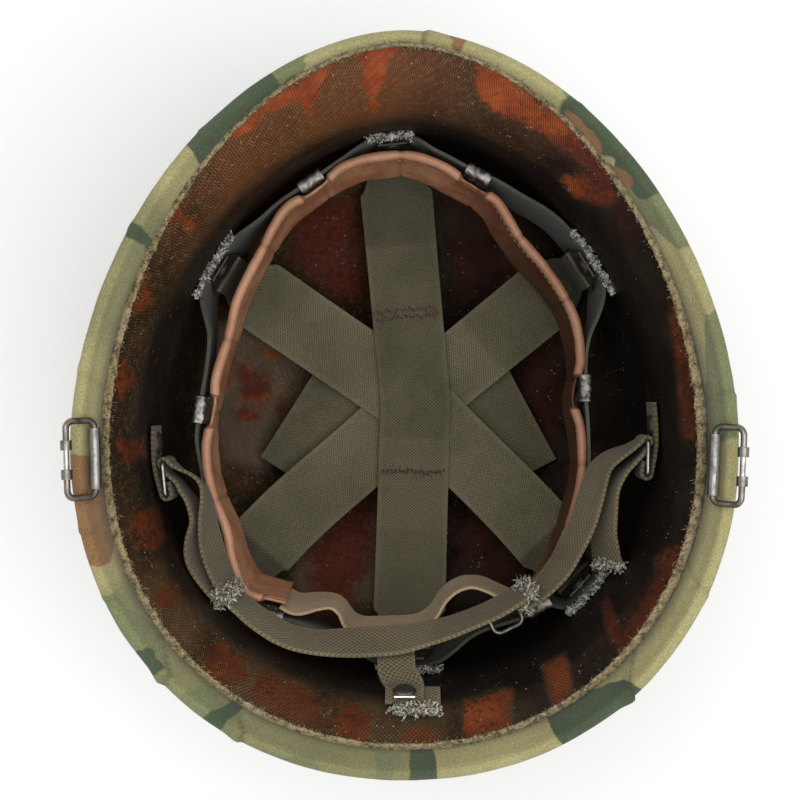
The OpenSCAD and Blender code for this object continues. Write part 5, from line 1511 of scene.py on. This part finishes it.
class HELMET_OT_nape(bpy.types.Operator):
    """Nape strap in its three lengths, side tabs, links and the rear tab"""
    bl_idname = "helmet.nape"
    bl_label = "Nape strap"

    def execute(self, context):
        settings = settings_of(context)
        web = webbing_material("nape_webbing_olive", tuple(settings.web_nape),
                               (0.0021, 0.0023), 0.66, 6.0)
        yarn = yarn_material("frayed_nape_yarn", (0.5, 0.47, 0.38), (0.08, 0.072, 0.05))
        fringe = []

        def strip(name, node, p, lean, seed, thick=WEB_T, dull=0.0, wave=0.25, fray=None):
            """One length of webbing; fray is the count and length of the yarns at its ends."""
            side = lean_side(p, lean)
            ob = ribbon(name, p, side, NAPE_W, thick, across=14, spacing=1.1, wave=wave,
                        seed=seed, shade=even_shade(dull))
            finished(ob, "liner", web, [node])
            if fray:
                for end, (i, j) in enumerate(((0, 1), (-1, -2))):
                    fringe.append(frayed("fray", p[i], side[i], p[i] - p[j], NAPE_W, fray[0],
                                         100 + seed * 7 + end, fray[1]))

        p, lean = on_route(CENTRE_ROUTE, 6)
        strip("nape_centre", "nape_strap", p, lean * 0.72, 3, WEB_T + 0.2, fray=(330, 1.7))
        # Name, node, outer run, angle of the link's front bar, inner run, seed, and painted shade
        for name, node, outer, link, inner, seed, dull in (
                ("nape_side_right", "nape_end_right", RIGHT_OUTER, 6, RIGHT_INNER, 4, 0.3),
                ("nape_side_left", "nape_end_left", LEFT_OUTER, 179, LEFT_INNER, 5, 0.2)):
            a, la = on_route(outer)
            b, lb = on_route(inner)
            turn = turn_round(link, FRONT_BAR_OFF, -1)
            p = np.vstack([a, turn, b])
            lean = np.concatenate([la, np.zeros(len(turn)), lb])
            strip(name, node, p, lean, seed, dull=dull, fray=(190, 1.4))
        # Name, node, route as (angle, distance off the wall), angle of the rear bar, and seed
        for name, node, route, link, seed in (
                ("nape_tab_right_web", "nape_tab_right",
                 [(-2.5, 1.45), (2, 1.45), (6, 1.45), (9.5, 1.85)], 13.4, 6),
                ("nape_tab_left_web", "nape_tab_left",
                 [(187.5, 1.45), (183, 1.45), (179, 1.45), (175.5, 1.85)], 171.6, 7)):
            q = spline(route, 5)
            a = wall_at(q[:, 0], NAPE_Z, q[:, 1])
            turn = turn_round(link, REAR_BAR_OFF, 1)
            forward = -unit(turn[4] - (turn[0] + turn[-1]) / 2)
            p = np.vstack([a, turn, [turn[-1] + forward * f for f in (1.25, 2.5, 3.75, 5)]])
            strip(name, node, p, 0, seed, dull=0.6, wave=0.1)
        self.rear_tab(web, fringe)
        ob = joined("frayed_nape_ends", fringe)
        finished(ob, "liner", yarn)
        dress_nodes(metal_material("link_plated_wire", (0.34, 0.335, 0.31), 0.28, 0.2, 0.3),
                    "nape_link_right", "nape_link_left")
        dress_nodes(metal_material("nape_rivet_steel", (0.22, 0.21, 0.19), 0.4, 0.35, 0.3),
                    "nape_rivets")
        dress_nodes(metal_material("staple_bright", (0.66, 0.66, 0.64), 0.2, 0.0, 0.8),
                    "rear_tab_staple")
        return {"FINISHED"}

    def rear_tab(self, web, fringe):
        """The folded tab at the rear. Its frayed end joins the fringe of the strap."""
        fold_off = WEB_T / 2 + 1.3
        off = fold_off + WEB_T + 0.4
        foot = wall_at(89, NAPE_Z, 17.2)
        up = [wall_at(90, REAR_TAB_Z + d, off) for d in (-6, -2, 2, 6)]
        p = spline([foot + [2, 2.6, -1], foot + [1.5, 7.2, 5.5], foot + [1, 11.4, 11]] + up, 8)
        tab = ribbon("rear_tab_front", p, sideways(len(p)), REAR_TAB_W, WEB_T, across=12,
                     spacing=1.0, seed=8)
        # The second layer lies behind it, turned towards the wearer's left
        q = wall_at(90, REAR_TAB_Z + np.linspace(-7, 7, 12), fold_off) + [-5.0, 0, 0]
        back = ribbon("rear_tab_back", q, sideways(len(q)), REAR_BACK_W, WEB_T, across=12,
                      spacing=1.0, wave=0.2, seed=9)
        ob = joined("rear_tab_webbing", [tab, back])
        finished(ob, "liner", web, ["rear_tab"])
        fringe.append(frayed("fray_rear", q[-1] + [0, 0, 0.5], np.array([1.0, 0, 0]),
                             np.array([0, 0.4, 1.0]), REAR_BACK_W - 1, 210, 190, 1.7))


class HELMET_OT_fittings(bpy.types.Operator):
    """Finish of the washers and rivets"""
    bl_idname = "helmet.fittings"
    bl_label = "Rivets and washers"

    def execute(self, context):
        dress_nodes(metal_material("rivet_dark_brass", (0.13, 0.12, 0.09), 0.45, 0.4, 0.3),
                    "liner_rivets")
        dress_nodes(metal_material("washer_worn_steel", (0.12, 0.12, 0.11), 0.4, 0.2, 0.3),
                    "strap_washers")
        return {"FINISHED"}


# Stage
FLOOR_SIZE, FLOOR_WHITE, SKY_POWER = 30, (0.88, 0.88, 0.88), 0.72
# Lights: name, place and width in metres, power in watts
LIGHTS = (("key", (-0.5, 0.4, 1.5), 1.2, 11), ("top", (0.25, -0.45, 1.6), 1.1, 8))
LIGHT_AIM, CAMERA_AIM = Vector((0, 0, 0.1)), Vector((0.0017, -0.00075, 0.165))


class HELMET_OT_stage(bpy.types.Operator):
    """Pale floor, soft studio light, and the camera looking straight down"""
    bl_idname = "helmet.stage"
    bl_label = "Stage"

    def execute(self, context):
        settings = settings_of(context)
        clear_selection()
        bpy.ops.mesh.primitive_plane_add(size=FLOOR_SIZE)
        floor = context.object
        floor.name = "floor"
        s = Shader("floor_pale", roughness=0.9, specular=0.1)
        floor.data.materials.append(s.finish(FLOOR_WHITE))
        world = context.scene.world or bpy.data.worlds.new("studio")
        context.scene.world = world
        world.use_nodes = True
        background = world.node_tree.nodes["Background"]
        background.inputs[0].default_value = (1.0, 1.0, 1.0, 1)
        background.inputs[1].default_value = SKY_POWER
        for light in LIGHTS:
            self.area(*light)
        data = bpy.data.cameras.new("camera")
        data.lens, data.sensor_width = settings.camera_lens, 36.0
        data.clip_start, data.clip_end = 0.01, 20
        camera = bpy.data.objects.new("camera", data)
        context.scene.collection.objects.link(camera)
        eye = Vector((0, 0, settings.camera_height))
        back = (eye - CAMERA_AIM).normalized()
        # The wearer's left is at the photograph's right
        left = Vector((-1, 0, 0))
        right = (left - back * back.dot(left)).normalized()
        up = back.cross(right)
        turn = Matrix((right, up, back)).transposed()
        camera.matrix_world = Matrix.Translation(eye) @ turn.to_4x4()
        context.scene.camera = camera
        context.scene.view_settings.view_transform = "Standard"
        return {"FINISHED"}

    def area(self, name, place, size, power):
        data = bpy.data.lights.new(name, "AREA")
        data.size, data.energy = size, power
        ob = bpy.data.objects.new(name, data)
        bpy.context.scene.collection.objects.link(ob)
        ob.location = place
        ob.rotation_euler = (Vector(place) - LIGHT_AIM).to_track_quat("Z", "Y").to_euler()


PIECES = (HELMET_OT_shell, HELMET_OT_cover, HELMET_OT_liner, HELMET_OT_suspension,
          HELMET_OT_sweatband, HELMET_OT_nape, HELMET_OT_fittings, HELMET_OT_stage)


class HELMET_PT_panel(bpy.types.Panel):
    bl_idname = "HELMET_PT_panel"
    bl_label = "Combat helmet"
    bl_space_type = "VIEW_3D"
    bl_region_type = "UI"
    bl_category = "Helmet"

    def draw(self, context):
        for operator in PIECES:
            self.layout.operator(operator.bl_idname)
        for key in HelmetSettings.__annotations__:
            self.layout.prop(context.scene.helmet, key)


def register():
    for c in (HelmetSettings, *PIECES, HELMET_PT_panel):
        bpy.utils.register_class(c)
    bpy.types.Scene.helmet = bpy.props.PointerProperty(type=HelmetSettings)


def unregister():
    del bpy.types.Scene.helmet
    for c in (HELMET_PT_panel, *reversed(PIECES), HelmetSettings):
        bpy.utils.unregister_class(c)


def main():
    register()
    bpy.ops.helmet.shell()
    bpy.ops.helmet.cover()
    bpy.ops.helmet.liner()
    bpy.ops.helmet.suspension()
    bpy.ops.helmet.sweatband()
    bpy.ops.helmet.nape()
    bpy.ops.helmet.fittings()
    bpy.ops.helmet.stage()
    bpy.context.view_layer.update()


if __name__ == "__main__":
    main()
